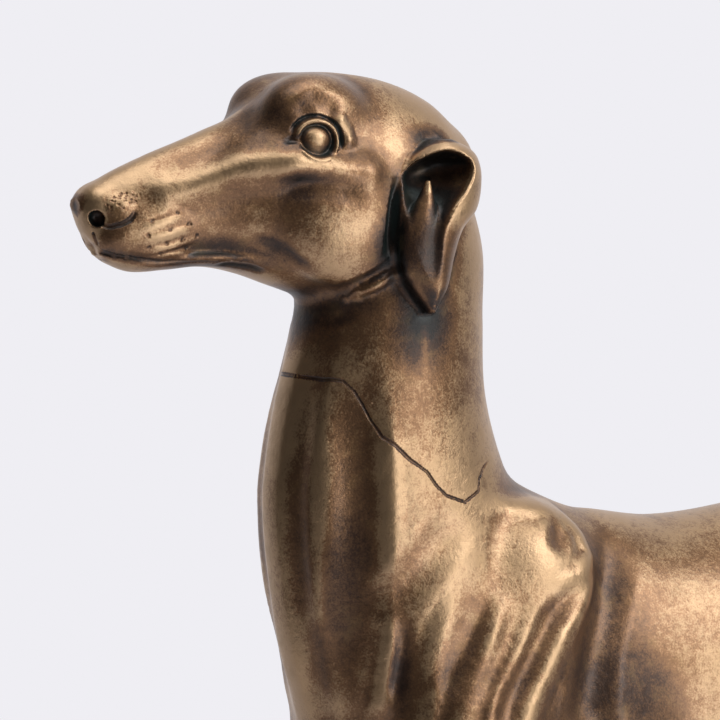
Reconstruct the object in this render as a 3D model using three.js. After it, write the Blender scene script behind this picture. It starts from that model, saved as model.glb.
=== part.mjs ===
// A standing greyhound, cast in resin as one piece, on a low stepped plinth.
// Millimetres, +Z up. The plinth's underside is z = 0, its centre at the origin. The hound looks along -X.
//
// The figure is carved as a field: a number for every point of space, below zero inside the hound. Lofted
// masses, bones and muscles are blended into it, strokes raise or hollow its skin, and its zero surface is
// then meshed on a grid, finer about the head, and drawn onto the true surface.
// The figure's own places are [forward-back, out, up] from the mirror plane and the soles of the paws, for a
// carving that stands carvedHeight tall. They all scale with figureHeight.

import * as THREE from "three";

// Driving sizes
const figureHeight = 575; // from the soles to the crown of the skull
const plinthHeight = 25;
const plinthMarginEnds = 34; // of plinth before the forepaws and behind the hind paws
const plinthMarginSides = 26;
const plinthCornerRadius = 12;
const plinthStep = 6; // how far the foot of the plinth stands out beyond its top
const plinthFootShare = 0.45; // of the plinth's height that is foot
const plinthEdge = 2; // rounding of its top edge
const seatGap = 0.3; // between the soles and the plinth
const headCell = 3.6; // grid spacing about the head
const shoulderCell = 5.2; // grid spacing about the neck and shoulders
const bodyCell = 8.6; // grid spacing elsewhere
const houndTriangles = 9200;
const headFrom = 486; // above this height the thinning keeps more triangles
const headCare = 6;
const coarseTop = 325; // the grid is coarse up to here
const headBottom = 476; // and fine above here
const gridTop = 590;
const headBack = -150; // the head and its fillets lie before this place
const legsTop = 356; // the legs' fillets end below this height,
const forelegBack = -85; // before this place
const hindlegFront = 35; // and behind this one
const tailFront = 150;

const carvedHeight = 575;
const figureScale = figureHeight / carvedHeight;

const bronze = new THREE.MeshStandardMaterial({ color: 0x8c6a42, roughness: 0.38, metalness: 0.85 });
const darkBronze = new THREE.MeshStandardMaterial({ color: 0x4a3726, roughness: 0.45, metalness: 0.8 });

// Field tools

// A smooth curve through stations [t, value, value, ...], looked up a millimetre at a time.
function curveThrough(stations) {
  const places = stations.map((s) => s[0]);
  const width = stations[0].length - 1;
  const slopes = stations.map((s, i) => {
    const before = stations[Math.max(i - 1, 0)];
    const after = stations[Math.min(i + 1, stations.length - 1)];
    return s.map((_, k) => (after[k] - before[k]) / (after[0] - before[0]));
  });
  const first = places[0];
  const last = places[places.length - 1];
  const table = [];
  let span = 0;
  for (let t = first; t <= last; t += 1) {
    while (span < places.length - 2 && t > places[span + 1]) span++;
    const step = places[span + 1] - places[span];
    const u = (t - places[span]) / step;
    const row = [];
    for (let k = 1; k <= width; k++) {
      const [a, b] = [stations[span][k], stations[span + 1][k]];
      const [ma, mb] = [slopes[span][k] * step, slopes[span + 1][k] * step];
      row.push(
        a * (1 + u * u * (2 * u - 3)) + b * u * u * (3 - 2 * u) +
        ma * u * (1 - u) * (1 - u) + mb * u * u * (u - 1),
      );
    }
    table.push(row);
  }
  return (t) => {
    const at = Math.min(Math.max(t - first, 0), table.length - 1.001);
    const i = Math.floor(at);
    return table[i].map((v, k) => v + (table[i + 1][k] - v) * (at - i));
  };
}

// Nearly the distance to an ellipse or ellipsoid, from offsets and radii.
function ellipse(...pairs) {
  let near = 0;
  let steep = 0;
  for (const [offset, radius] of pairs) {
    near += (offset / radius) ** 2;
    steep += (offset / (radius * radius)) ** 2;
  }
  near = Math.sqrt(near);
  return steep === 0 ? -pairs[0][1] : (near * (near - 1)) / Math.sqrt(steep);
}

// A body drawn by two lines and a half width at stations along an axis. egg above 0 makes it wider high up.
function loft(stations, egg = 0) {
  const curve = curveThrough(stations);
  const [first, last] = [stations[0][0], stations[stations.length - 1][0]];
  return (along, out, across) => {
    const [high, low, wide] = curve(along);
    const half = (high - low) / 2;
    const offset = across - (high + low) / 2;
    const lean = Math.max(-1, Math.min(1, offset / half));
    const field = ellipse([offset, half], [out, wide * (1 + egg * lean)]);
    const beyond = Math.max(first - along, along - last, 0);
    return beyond > 0 ? Math.hypot(Math.max(field, 0), beyond) : field;
  };
}

// A bone or muscle: a rounded taper from one place to another, flattened sideways by flat at its start and by
// flatEnd at its end.
function taper([ax, aw, az], [bx, bw, bz], ra, rb, flat = 1, flatEnd = flat) {
  const [dx, dw, dz] = [bx - ax, bw - aw, bz - az];
  const long = dx * dx + dw * dw + dz * dz;
  return (x, w, z) => {
    const [px, pw, pz] = [x - ax, w - aw, z - az];
    const t = Math.max(0, Math.min(1, (px * dx + pw * dw + pz * dz) / long));
    const thin = flat + t * (flatEnd - flat);
    const away = Math.hypot(px - t * dx, (pw - t * dw) / thin, pz - t * dz);
    return (away - (ra + t * (rb - ra))) * Math.min(1, thin);
  };
}

// An ellipsoid, its length tipped nose-down by tilt degrees.
function ball([cx, cw, cz], [rx, rw, rz], tilt = 0) {
  const [cos, sin] = [Math.cos((tilt * Math.PI) / 180), Math.sin((tilt * Math.PI) / 180)];
  return (x, w, z) => {
    const [px, pz] = [x - cx, z - cz];
    return ellipse([px * cos + pz * sin, rx], [w - cw, rw], [pz * cos - px * sin, rz]);
  };
}

// Smooth union over a fillet, and smooth hollowing out.
function blend(a, b, fillet) {
  const h = Math.max(fillet - Math.abs(a - b), 0) / fillet;
  return Math.min(a, b) - (h * h * fillet) / 4;
}
const hollow = (a, b, fillet) => -blend(-a, b, fillet);

// A stroke of the carver's tool along places: raises the skin by rise, or hollows it where rise is below 0.
// It fades in and out over ends, a share of its length. faces says how much each direction counts, so that
// its depth counts for less than its place on the skin.
const onSide = [1, 0.35, 1];
const onFront = [0.35, 1, 1];
function stroke(places, width, rise, faces = onSide, ends = 0.3) {
  const spots = places.map((place) => place.map((v, k) => v * faces[k]));
  let whole = 0;
  const runs = spots.slice(1).map((b, i) => {
    const a = spots[i];
    const length = Math.hypot(b[0] - a[0], b[1] - a[1], b[2] - a[2]);
    const run = { a, length, start: whole, way: a.map((v, k) => (b[k] - v) / length) };
    whole += length;
    return run;
  });
  return (x, w, z) => {
    let nearest = width;
    let along = 0;
    for (const { a, length, start, way } of runs) {
      const [px, pw, pz] = [x * faces[0] - a[0], w * faces[1] - a[1], z * faces[2] - a[2]];
      const t = Math.max(0, Math.min(length, px * way[0] + pw * way[1] + pz * way[2]));
      const away = Math.hypot(px - t * way[0], pw - t * way[1], pz - t * way[2]);
      if (away < nearest) [nearest, along] = [away, (start + t) / whole];
    }
    if (nearest >= width) return 0;
    const fade = Math.min(1, Math.min(along, 1 - along) / ends + 0.05);
    return rise * (1 - (nearest / width) ** 2) ** 2 * fade * fade * (3 - 2 * fade);
  };
}

// The trunk: [forward-back, topline, underline, half width]
const trunk = loft([
  [-236, 316, 300, 8],
  [-228, 337, 280, 21],
  [-210, 367, 248, 34],
  [-188, 394, 224, 41],
  [-160, 415, 210, 44],
  [-130, 413, 206, 45.5],
  [-98, 408.5, 208, 47],
  [-60, 411, 217, 47],
  [-25, 418, 234, 45],
  [10, 425, 258, 40],
  [45, 428, 283, 34],
  [75, 427, 298, 31],
  [105, 421, 300, 34],
  [135, 409, 297, 36],
  [160, 394, 301, 33],
  [180, 376, 312, 24],
  [193, 356, 330, 11],
], 0.14);

// The neck: [height, nape, throat, half width]
const neck = loft([
  [290, -128, -236, 32],
  [325, -130, -241, 38],
  [345, -131, -246, 41],
  [372, -136, -253.5, 41],
  [400, -150, -258, 39],
  [415, -157.5, -259.5, 37],
  [429, -166.5, -259.5, 35],
  [457, -175, -255, 31],
  [485, -176, -247, 28],
  [510, -176, -242, 26],
  [535, -183, -240, 22],
], -0.06);

// The skull and upper jaw: [forward-back, topline, underline, half width]
const skull = loft([
  [-333, 530.5, 526, 4],
  [-330, 533.5, 518.5, 7],
  [-325, 536.4, 514.5, 9],
  [-318, 539.8, 511.5, 11],
  [-306, 544.7, 508.8, 12.5],
  [-294, 549, 508, 13.5],
  [-284, 552.8, 507.4, 15],
  [-275, 556.3, 505, 17.5],
  [-266, 562, 502, 21],
  [-257, 568.5, 499, 24],
  [-245, 571.8, 496.5, 26],
  [-228, 571.2, 496.5, 26.5],
  [-212, 568, 501, 25],
  [-198, 562, 508, 21],
  [-189, 555, 517, 16],
  [-182.5, 549.5, 527, 10.5],
  [-178.6, 543, 534, 5],
  [-177.6, 540, 537, 2],
], -0.12);

const lowerJaw = loft([
  [-325, 513, 511, 3],
  [-321, 514.5, 507.8, 6.5],
  [-313, 514.5, 505, 8.8],
  [-301, 513.5, 505.3, 10],
  [-287, 513, 506, 11.3],
  [-272, 514, 503.2, 13],
  [-258, 517, 498.3, 15],
  [-245, 521, 494, 17],
  [-228, 524, 493, 17],
  [-212, 525, 498, 13],
]);

// Masses of the near half, mirrored: [form, fillet]. Places are [forward-back, out, up].
const headMasses = [
  [ball([-250, 13.5, 555.5], [16, 8, 11.5]), 9], // brow
  [ball([-250, 11.5, 561], [14.5, 9, 8.6]), 9], // edge of the forehead
  [ball([-266.5, 12, 543.5], [12, 8, 8]), 9], // from the brow down to the muzzle
  [taper([-304, 9.6, 532], [-262, 19.5, 541], 1.6, 3.2), 9], // cheekbone, from the muzzle to below the eye
  [taper([-262, 19.5, 541], [-236, 24.5, 538], 3.2, 3.2), 8], // cheekbone, back below the temple
  [ball([-238, 19.5, 519], [23, 10, 20]), 8], // jaw muscle
  [ball([-326.4, 3, 529], [4.6, 5, 4.6]), 4], // nose pad
  [ball([-321.6, 4.5, 517], [5.4, 6, 5.4]), 5], // upper lip
  [ball([-320.6, 7.2, 527], [5.2, 4.2, 4.3], 10), 2], // wing of the nose
  [ball([-309, 7.5, 518], [13, 5.6, 8.5]), 6], // whisker pad
];
const eyeSocket = ball([-253.4, 26.8, 549.2], [6.7, 7, 6.2]);
const eyeball = ball([-253.5, 21, 549], [6.3, 4.6, 5.6]);
const bodyMasses = [
  [ball([-170, 25, 398], [20, 14, 20]), 8], // top of the shoulder blade
  [taper([-168, 26, 385], [-200, 34, 345], 15, 20, 0.8), 16], // shoulder blade
  [ball([-196, 36, 330], [22, 16, 26]), 14], // point of the shoulder
  [taper([-192, 35, 322], [-134, 39, 256], 20, 15, 0.8), 14], // upper arm
  [ball([-142, 36, 305], [27, 13, 46], 14), 16], // triceps
  [taper([-222, 13, 328], [-205, 12, 262], 17, 15), 14], // breast
  [ball([118, 24, 372], [52, 19, 44], 20), 20], // croup
  [ball([116, 31, 328], [48, 18, 60], 20), 18], // thigh
  [taper([166, 21, 370], [130, 33, 258], 22, 13, 0.75), 16], // hamstring
];

// Legs: [forward-back, out, up, half depth, half width] from the trunk down to the pastern
const foreleg = [
  [-134, 39, 262, 21, 14],
  [-132, 39, 232, 17.5, 12.5],
  [-139, 37, 195, 13.5, 11],
  [-145, 36, 155, 10.5, 9.5],
  [-148, 35.5, 122, 9.6, 9],
  [-149, 35.5, 101, 11, 10.5],
  [-148, 35.5, 82, 9, 8.8],
  [-149, 35.5, 50, 8.8, 9],
  [-155, 35.5, 26, 10, 11],
];
const hindleg = [
  [112, 36, 300, 40, 18],
  [96, 38, 254, 23, 15.5],
  [107, 38, 224, 20, 13],
  [132, 37, 180, 14.5, 10.5],
  [158, 36.5, 142, 9.5, 8],
  [172, 36, 118, 11, 9.5],
  [173, 36, 96, 9, 8.5],
  [168, 36, 55, 8.4, 8.8],
  [162, 36, 27, 10, 11],
];
const hindStagger = 15; // the near hind leg stands this far back, and the far one as far forward
const tail = [
  [184, 0, 374, 13, 13],
  [203, 0, 345, 10.5, 10.5],
  [212, 0, 290, 9, 9],
  [214, 0, 225, 8.2, 8.2],
  [217, 0, 165, 7.6, 7.6],
  [226, 0, 125, 7.2, 7.2],
  [240, 0, 104, 6.6, 6.6],
];

// A limb is a smooth chain of short tapers through stations, each flattened to its own width.
const linksToARun = 3;
function limb(stations) {
  const curve = curveThrough(stations.map((station, i) => [i * linksToARun, ...station]));
  const rows = [];
  for (let i = 0; i <= (stations.length - 1) * linksToARun; i++) rows.push(curve(i));
  const links = rows.slice(1).map((b, i) => {
    const a = rows[i];
    return taper(a.slice(0, 3), b.slice(0, 3), a[3], b[3], a[4] / a[3], b[4] / b[3]);
  });
  return (x, w, z) => links.reduce((field, link) => Math.min(field, link(x, w, z)), 1e3);
}
const forelegField = limb(foreleg);
const hindlegField = limb(hindleg);
// The tendon from the calf to the point of the hock
const heelTendon = taper([146, 36.5, 178], [183, 36, 127], 3, 5, 0.8);
const tailField = limb(tail);

// A paw: four arched toes before a heel pad. heel is where the pastern meets it.
const pawReach = 36; // from the heel's middle to the tips of the middle toes
const pawHeel = 12; // and back to the heel
const pawHalfWidth = 16;
const toeLength = 14; // half of a middle toe's
const heelLength = 15; // half of the heel pad's
const toes = [
  [2, -4.6, 11, 1], // inner middle toe: back from the paw's reach, out, up, size
  [2, 4.6, 11, 1],
  [10.1, -11, 10, 0.92],
  [10.1, 11, 10, 0.92],
];
function paw([hx, hw]) {
  const heel = ball([hx + pawHeel - heelLength, hw, 12], [heelLength, 11.5, 13]);
  const parts = toes.map(([back, out, up, size]) => {
    const half = toeLength * size;
    return ball([hx - (pawReach - back - half), hw + out, up], [half, 5.6 * size, 10.5 * size], -14);
  });
  return (x, w, z) => {
    const grown = parts.reduce((field, toe) => blend(field, toe(x, w, z), 2), heel(x, w, z));
    return blend(heel(x, w, z), grown, 5);
  };
}
const forepaw = paw([foreleg[foreleg.length - 1][0], foreleg[foreleg.length - 1][1]]);
const hindpaw = paw([hindleg[hindleg.length - 1][0], hindleg[hindleg.length - 1][1]]);

// The ear, folded back and hanging against the neck: a leaf by [height, hind edge, fore edge, reach out from
// earSeat], and the scoop that opens its front by [height, hind edge, fore edge, depth in from scoopFace].
const earSeat = 24;
const earLeaf = loft([
  [489.5, -211, -215, 9],
  [497.5, -205.5, -221, 13.5],
  [509.6, -202, -225.5, 15.5],
  [518, -198.5, -226, 15.8],
  [525, -192.5, -225, 16],
  [535.5, -190.3, -221.5, 14.5],
  [542.4, -191.5, -217.5, 12],
  [546, -195, -213, 9.5],
  [548.8, -201, -209, 5],
]);
const scoopFace = 43;
const earScoop = loft([
  [493, -213.2, -217, 3.5],
  [505, -213, -223, 5.5],
  [511, -213, -226.5, 6.8],
  [516, -213, -228, 8.2],
  [521, -211.5, -228.5, 10],
  [526, -208.5, -228.5, 13],
  [532, -202.5, -227, 18],
  [537, -198.6, -225, 22],
  [541, -197.8, -221, 20],
  [544, -201, -216, 14],
  [546, -204.5, -211.5, 8],
]);
const flapSeat = 32.5;
// The fore edge of the leaf, rolled inwards: [height, hind edge, fore edge, half thickness]
const earFlap = loft([
  [489.8, -212.6, -214.4, 2.4],
  [499.5, -210, -221.4, 4.4],
  [508, -209.2, -225, 5.2],
  [517, -209.6, -224.6, 5],
  [525, -211.6, -221, 3.6],
  [531, -213.2, -217.6, 2.2],
  [535, -214, -215.6, 1],
]);

// The broad strokes of the carver's tool: hollows, and where the rise is above 0 the ridges between them
const strokes = [
  stroke([[-327, 8, 512.5], [-317, 10, 510.4], [-306, 11.5, 509], [-294, 13, 508.8]], 2.6, -0.6), // mouth
  stroke([[-223, 27, 537], [-226.2, 28, 527], [-227.6, 29, 518],
          [-228.6, 30, 508]], 2.6, -3.4, onSide, 0.4), // slot before the ear
  stroke([[-298, 12, 537], [-280, 15, 541.5], [-262.5, 21, 541.5], [-250, 25, 540],
          [-239, 27, 536]], 6.5, 1.5),
  stroke([[-270, 18, 534.5], [-262, 21, 534], [-246, 26, 532.5],
          [-236, 27, 530]], 7, -1.1), // below the cheekbone
  stroke([[-262, 18, 557], [-253, 20, 561.5], [-243, 22, 558]], 6, -1.3), // hollow above the upper lid
  stroke([[-247, 22, 559], [-242, 25, 552], [-240.5, 26, 545]], 4, 1.3), // rim of the orbit, behind the eye
  stroke([[-251, 15, 491.8], [-246.4, 20, 491], [-238, 26, 495], [-229.3, 28, 499.8],
          [-221, 29, 504.5]], 3.4, 1.8),
  stroke([[-257, 14, 495], [-249, 20, 494.8], [-240, 26, 499], [-231, 28, 503.6],
          [-224, 29, 508]], 2.8, -1.3),
  stroke([[-252, 16, 486.6], [-243, 22, 486.6], [-235, 27, 491]], 4.5, -1.2),
  stroke([[-256, 12, 486], [-258, 12.5, 420],
          [-247, 12, 335]], 8, -1.7, onFront, 0.15), // beside the windpipe
  stroke([[-248, 19, 480], [-254, 20, 430], [-252, 20.5, 400], [-247, 16, 368],
          [-240, 12, 335]], 9, 0.7, onFront, 0.15),
  stroke([[-240, 22, 476], [-239, 25, 439], [-240, 26, 412], [-241, 25, 384],
          [-241, 18, 350]], 12, -3.3, onSide, 0.25),
  stroke([[-229, 28, 462], [-230.5, 30, 440], [-231, 33, 412],
          [-230.5, 31, 388]], 7, 0.9, onSide, 0.35), // its hind edge
  stroke([[-202, 35, 420], [-216, 38, 406], [-227, 34, 394],
          [-232, 30, 382]], 11, -1.8), // before the shoulder
  stroke([[-193, 34, 417], [-182, 28, 420], [-166, 22, 419.5], [-155, 19, 416], [-149.5, 27, 409],
          [-149, 31, 401], [-157, 35, 395], [-171, 41, 390]], 6, 2), // rim of the shoulder blade
  stroke([[-159, 24, 413], [-163, 32, 408], [-167, 36, 402]], 7, -1.8, onSide, 0.45), // inside the rim
  stroke([[-228, 31, 386], [-230, 29, 372], [-231, 28, 361], [-234, 24, 345]], 5, 1.4),
  stroke([[-226, 34, 388], [-227, 30, 372], [-229, 29, 352]], 5, -1.6),
  stroke([[-205, 39, 396], [-213, 39, 381], [-218, 38, 369], [-220, 35, 355], [-226, 36, 335]], 7, 1.4),
  stroke([[-193, 37, 392], [-201, 39, 378], [-204, 40, 371], [-210, 41, 362], [-219, 44, 338]], 7, -1.0),
  stroke([[-187, 40, 391], [-197, 44, 374], [-203, 46, 366], [-209, 49, 355], [-218, 48, 333]], 7, 1.3),
  stroke([[-179, 43, 391], [-193, 47, 373], [-205, 51, 357], [-214, 52, 333]], 7, -1.4),
  stroke([[-152, 33, 394], [-164, 38, 386], [-172, 43, 381], [-183, 47, 366], [-192, 52, 355],
          [-203, 54, 333]], 7, -1.8),
  stroke([[-135, 24, 402], [-151, 35, 391], [-163, 41, 380], [-174, 45, 366], [-184, 49, 352],
          [-194, 52, 333]], 8, 1.8),
  stroke([[-128, 18, 409], [-141, 34, 388], [-151, 44, 368], [-157, 50, 348], [-147, 52, 318],
          [-124, 50, 275]], 13, -4, onSide, 0.2), // behind the shoulder
  stroke([[72, 28, 405], [78, 33, 360], [60, 34, 310]], 20, -4), // flank
  stroke([[120, 48, 335], [132, 46, 285]], 10, -2.5), // thigh furrow
];

// The head, blended into the field of the neck
function withHead(field, x, w, z) {
  let head = blend(skull(x, w, z), lowerJaw(x, w, z), 2);
  for (const [form, fillet] of headMasses) head = blend(head, form(x, w, z), fillet);
  head = hollow(head, eyeSocket(x, w, z), 1.4);
  head = blend(field, blend(head, eyeball(x, w, z), 0.8), 7);
  const scoop = earScoop(z, w - scoopFace, x);
  const ear = hollow(earLeaf(z, w - earSeat, x), scoop, 1);
  const made = hollow(blend(head, ear, 2.5), scoop, 1.5);
  return blend(made, earFlap(z, w - flapSeat, x), 2);
}

// The whole hound at a place in the carving's millimetres; y below 0 is the near side.
function hound(x, y, z) {
  const w = Math.abs(y);
  let field = blend(trunk(x, w, z), neck(z, w, x), 26);
  for (const [form, fillet] of bodyMasses) field = blend(field, form(x, w, z), fillet);
  if (z < legsTop && x < forelegBack) {
    field = blend(field, forelegField(x, w, z), 12);
    field = blend(field, forepaw(x, w, z), 5);
  }
  if (z < legsTop && x > hindlegFront) {
    const stagger = THREE.MathUtils.smoothstep(300 - z, 0, 120) * (y < 0 ? hindStagger : -hindStagger);
    const leg = blend(hindlegField(x - stagger, w, z), heelTendon(x - stagger, w, z), 9);
    field = blend(field, leg, 12);
    field = blend(field, hindpaw(x - stagger, w, z), 5);
  }
  if (x > tailFront) field = blend(field, tailField(x, w, z), 8);
  if (z > headBottom && x < headBack) field = withHead(field, x, w, z);
  for (const cut of strokes) field -= cut(x, w, z);
  return Math.max(field, -z);
}

// Meshing

// Planes up to the end of each zone [end, spacing] in turn.
function planes(from, zones) {
  const made = [from];
  for (const [end, spacing] of zones) {
    while (made[made.length - 1] < end) made.push(made[made.length - 1] + spacing);
  }
  return made;
}

// Closes the field's zero surface over a grid: one vertex in each cell that it crosses, and one quad over
// each crossed edge.
function netOver(field, grid) {
  const counts = grid.map((p) => p.length);
  const index = (i, j, k) => (k * counts[1] + j) * counts[0] + i;
  const values = new Float64Array(counts[0] * counts[1] * counts[2]);
  grid[2].forEach((z, k) => grid[1].forEach((y, j) => grid[0].forEach((x, i) => {
    values[index(i, j, k)] = field(x, y, z);
  })));
  const vertexOf = new Map();
  const vertices = [];
  const corners = [0, 1, 2, 3, 4, 5, 6, 7].map((n) => [n & 1, (n >> 1) & 1, n >> 2]);
  // The vertices of a cell: one for each group of joined inside corners, so that two skins never share one.
  function verticesIn(cell) {
    const inside = corners.map((c) => values[index(...cell.map((v, k) => v + c[k]))] < 0);
    const groupOf = corners.map((_, n) => (inside[n] ? n : -1));
    for (let pass = 0; pass < 7; pass++)
      for (let n = 0; n < 8; n++) for (const bit of [1, 2, 4])
        if (inside[n] && inside[n ^ bit]) groupOf[n] = Math.min(groupOf[n], groupOf[n ^ bit]);
    const sums = new Map();
    for (let n = 0; n < 8; n++) for (const [axis, bit] of [1, 2, 4].entries()) {
      if (!inside[n] || inside[n ^ bit]) continue;
      const [from, to] = [corners[n], corners[n ^ bit]].map((c) => cell.map((v, k) => v + c[k]));
      const [va, vb] = [values[index(...from)], values[index(...to)]];
      const share = va / (va - vb);
      const place = grid.map((p, k) => p[from[k]] + (k === axis ? (p[to[k]] - p[from[k]]) * share : 0));
      const sum = sums.get(groupOf[n]) ?? [0, 0, 0, 0];
      sums.set(groupOf[n], [...sum.slice(0, 3).map((v, k) => v + place[k]), sum[3] + 1]);
    }
    const made = new Map();
    for (const [name, sum] of sums) {
      made.set(name, vertices.length);
      vertices.push(sum.slice(0, 3).map((v) => v / sum[3]));
    }
    return groupOf.map((name) => made.get(name));
  }
  // The vertex of a cell that belongs to one of its inside corners, given as a grid point.
  function cellVertex(cell, corner) {
    const key = index(...cell);
    if (!vertexOf.has(key)) vertexOf.set(key, verticesIn(cell));
    const offset = corner.map((v, k) => v - cell[k]);
    return vertexOf.get(key)[offset[0] + 2 * offset[1] + 4 * offset[2]];
  }
  const quads = [];
  for (let axis = 0; axis < 3; axis++) {
    const [u, v] = [(axis + 1) % 3, (axis + 2) % 3];
    const cell = [0, 0, 0];
    for (cell[2] = 1; cell[2] < counts[2] - 1; cell[2]++)
      for (cell[1] = 1; cell[1] < counts[1] - 1; cell[1]++)
        for (cell[0] = 1; cell[0] < counts[0] - 1; cell[0]++) {
          const next = cell.map((c, k) => c + (k === axis ? 1 : 0));
          const [va, vb] = [values[index(...cell)], values[index(...next)]];
          if (va < 0 === vb < 0) continue;
          const around = [[1, 1], [0, 1], [0, 0], [1, 0]].map(([du, dv]) =>
            cellVertex(cell.map((c, k) => c - (k === u ? du : k === v ? dv : 0)), va < 0 ? cell : next));
          quads.push(va < 0 ? around : around.reverse());
        }
  }
  return { vertices, quads };
}

// Draws each vertex onto the field's zero surface.
function drawOnto(field, vertices, rounds) {
  const probe = 0.4;
  for (const p of vertices) for (let round = 0; round < rounds; round++) {
    const here = field(...p);
    const slope = [0, 1, 2].map((k) => {
      const q = [...p];
      q[k] += probe;
      return (field(...q) - here) / probe;
    });
    const steep = Math.max(slope[0] ** 2 + slope[1] ** 2 + slope[2] ** 2, 0.2);
    const move = Math.max(-2, Math.min(2, here)) / steep;
    for (let k = 0; k < 3; k++) p[k] -= move * slope[k];
  }
}

// Takes triangles away where the surface is flattest, by drawing one end of an edge into the other.
function thinOut(vertices, triangles, goal) {
  const point = (v) => new THREE.Vector3(...vertices[v]);
  const normalOf = ([a, b, c]) => point(b).sub(point(a)).cross(point(c).sub(point(a)));
  const faces = triangles.map((t) => [...t]);
  const facesOf = vertices.map(() => new Set());
  // For each vertex, the sum of the squared distances to its faces' planes
  const planesOf = vertices.map(() => new Float64Array(10));
  faces.forEach((face, f) => {
    const normal = normalOf(face);
    const care = face.every((v) => vertices[v][2] > headFrom) ? headCare : 1;
    const area = normal.length() * care;
    normal.normalize();
    const plane = [normal.x, normal.y, normal.z, -normal.dot(point(face[0]))];
    for (const v of face) {
      facesOf[v].add(f);
      let n = 0;
      for (let i = 0; i < 4; i++) for (let j = i; j < 4; j++) planesOf[v][n++] += area * plane[i] * plane[j];
    }
  });
  function errorAt(v, [x, y, z]) {
    const q = planesOf[v];
    return q[0] * x * x + q[4] * y * y + q[7] * z * z + q[9] +
      2 * (q[1] * x * y + q[2] * x * z + q[3] * x + q[5] * y * z + q[6] * y + q[8] * z);
  }
  const neighbours = (v) => new Set([...facesOf[v]].flatMap((f) => faces[f]).filter((n) => n !== v));
  const heap = [];
  const changed = new Uint32Array(vertices.length);
  function push(from, to) {
    const long = point(from).distanceToSquared(point(to));
    const error = errorAt(from, vertices[to]) + errorAt(to, vertices[to]) + 0.004 * long;
    const entry = [error, from, to, changed[from] + changed[to]];
    let i = heap.push(entry) - 1;
    while (i > 0 && heap[(i - 1) >> 1][0] > entry[0]) {
      heap[i] = heap[(i - 1) >> 1];
      i = (i - 1) >> 1;
    }
    heap[i] = entry;
  }
  function pop() {
    const [least, entry] = [heap[0], heap.pop()];
    let i = 0;
    while (heap.length && 2 * i + 1 < heap.length) {
      let child = 2 * i + 1;
      if (child + 1 < heap.length && heap[child + 1][0] < heap[child][0]) child++;
      if (heap[child][0] >= entry[0]) break;
      heap[i] = heap[child];
      i = child;
    }
    if (heap.length) heap[i] = entry;
    return least;
  }
  vertices.forEach((_, v) => neighbours(v).forEach((n) => push(v, n)));
  let left = faces.length;
  while (left > goal && heap.length) {
    const [, from, to, stamp] = pop();
    if (stamp !== changed[from] + changed[to] || !facesOf[from].size || !facesOf[to].size) continue;
    const shared = [...facesOf[from]].filter((f) => facesOf[to].has(f));
    const around = neighbours(to);
    const common = [...neighbours(from)].filter((n) => around.has(n));
    if (shared.length !== 2 || common.length !== 2) continue;
    const moving = [...facesOf[from]].filter((f) => !facesOf[to].has(f));
    const turns = moving.some((f) => {
      const [before, after] = [normalOf(faces[f]), normalOf(faces[f].map((v) => (v === from ? to : v)))];
      return before.normalize().dot(after.clone().normalize()) < 0.5 || after.length() < 0.2;
    });
    if (turns) continue;
    for (const f of shared) for (const v of faces[f]) facesOf[v].delete(f);
    for (const f of moving) {
      faces[f] = faces[f].map((v) => (v === from ? to : v));
      facesOf[to].add(f);
    }
    facesOf[from].clear();
    planesOf[from].forEach((v, i) => (planesOf[to][i] += v));
    left -= 2;
    changed[to]++;
    for (const n of neighbours(to)) {
      push(n, to);
      push(to, n);
    }
  }
  return faces.filter((face, f) => facesOf[face[0]].has(f));
}

function houndGeometry() {
  const grid = [
    planes(-352, [[-168, headCell], [-125, shoulderCell], [265, bodyCell]]),
    planes(-14 * shoulderCell, [[14 * shoulderCell, shoulderCell]]),
    planes(-13, [[coarseTop, bodyCell], [headBottom, shoulderCell], [gridTop, headCell]]),
  ];
  const { vertices, quads } = netOver(hound, grid);
  drawOnto(hound, vertices, 4);
  const gap = (a, b) => Math.hypot(...vertices[a].map((v, k) => v - vertices[b][k]));
  const triangles = quads.flatMap(([a, b, c, d]) =>
    gap(a, c) < gap(b, d) ? [[a, b, c], [a, c, d]] : [[a, b, d], [b, c, d]]);
  const kept = thinOut(vertices, triangles, houndTriangles);
  const geometry = new THREE.BufferGeometry();
  geometry.setAttribute("position", new THREE.Float32BufferAttribute(vertices.flat(), 3));
  geometry.setIndex(kept.flat());
  geometry.scale(figureScale, figureScale, figureScale);
  return geometry;
}

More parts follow.
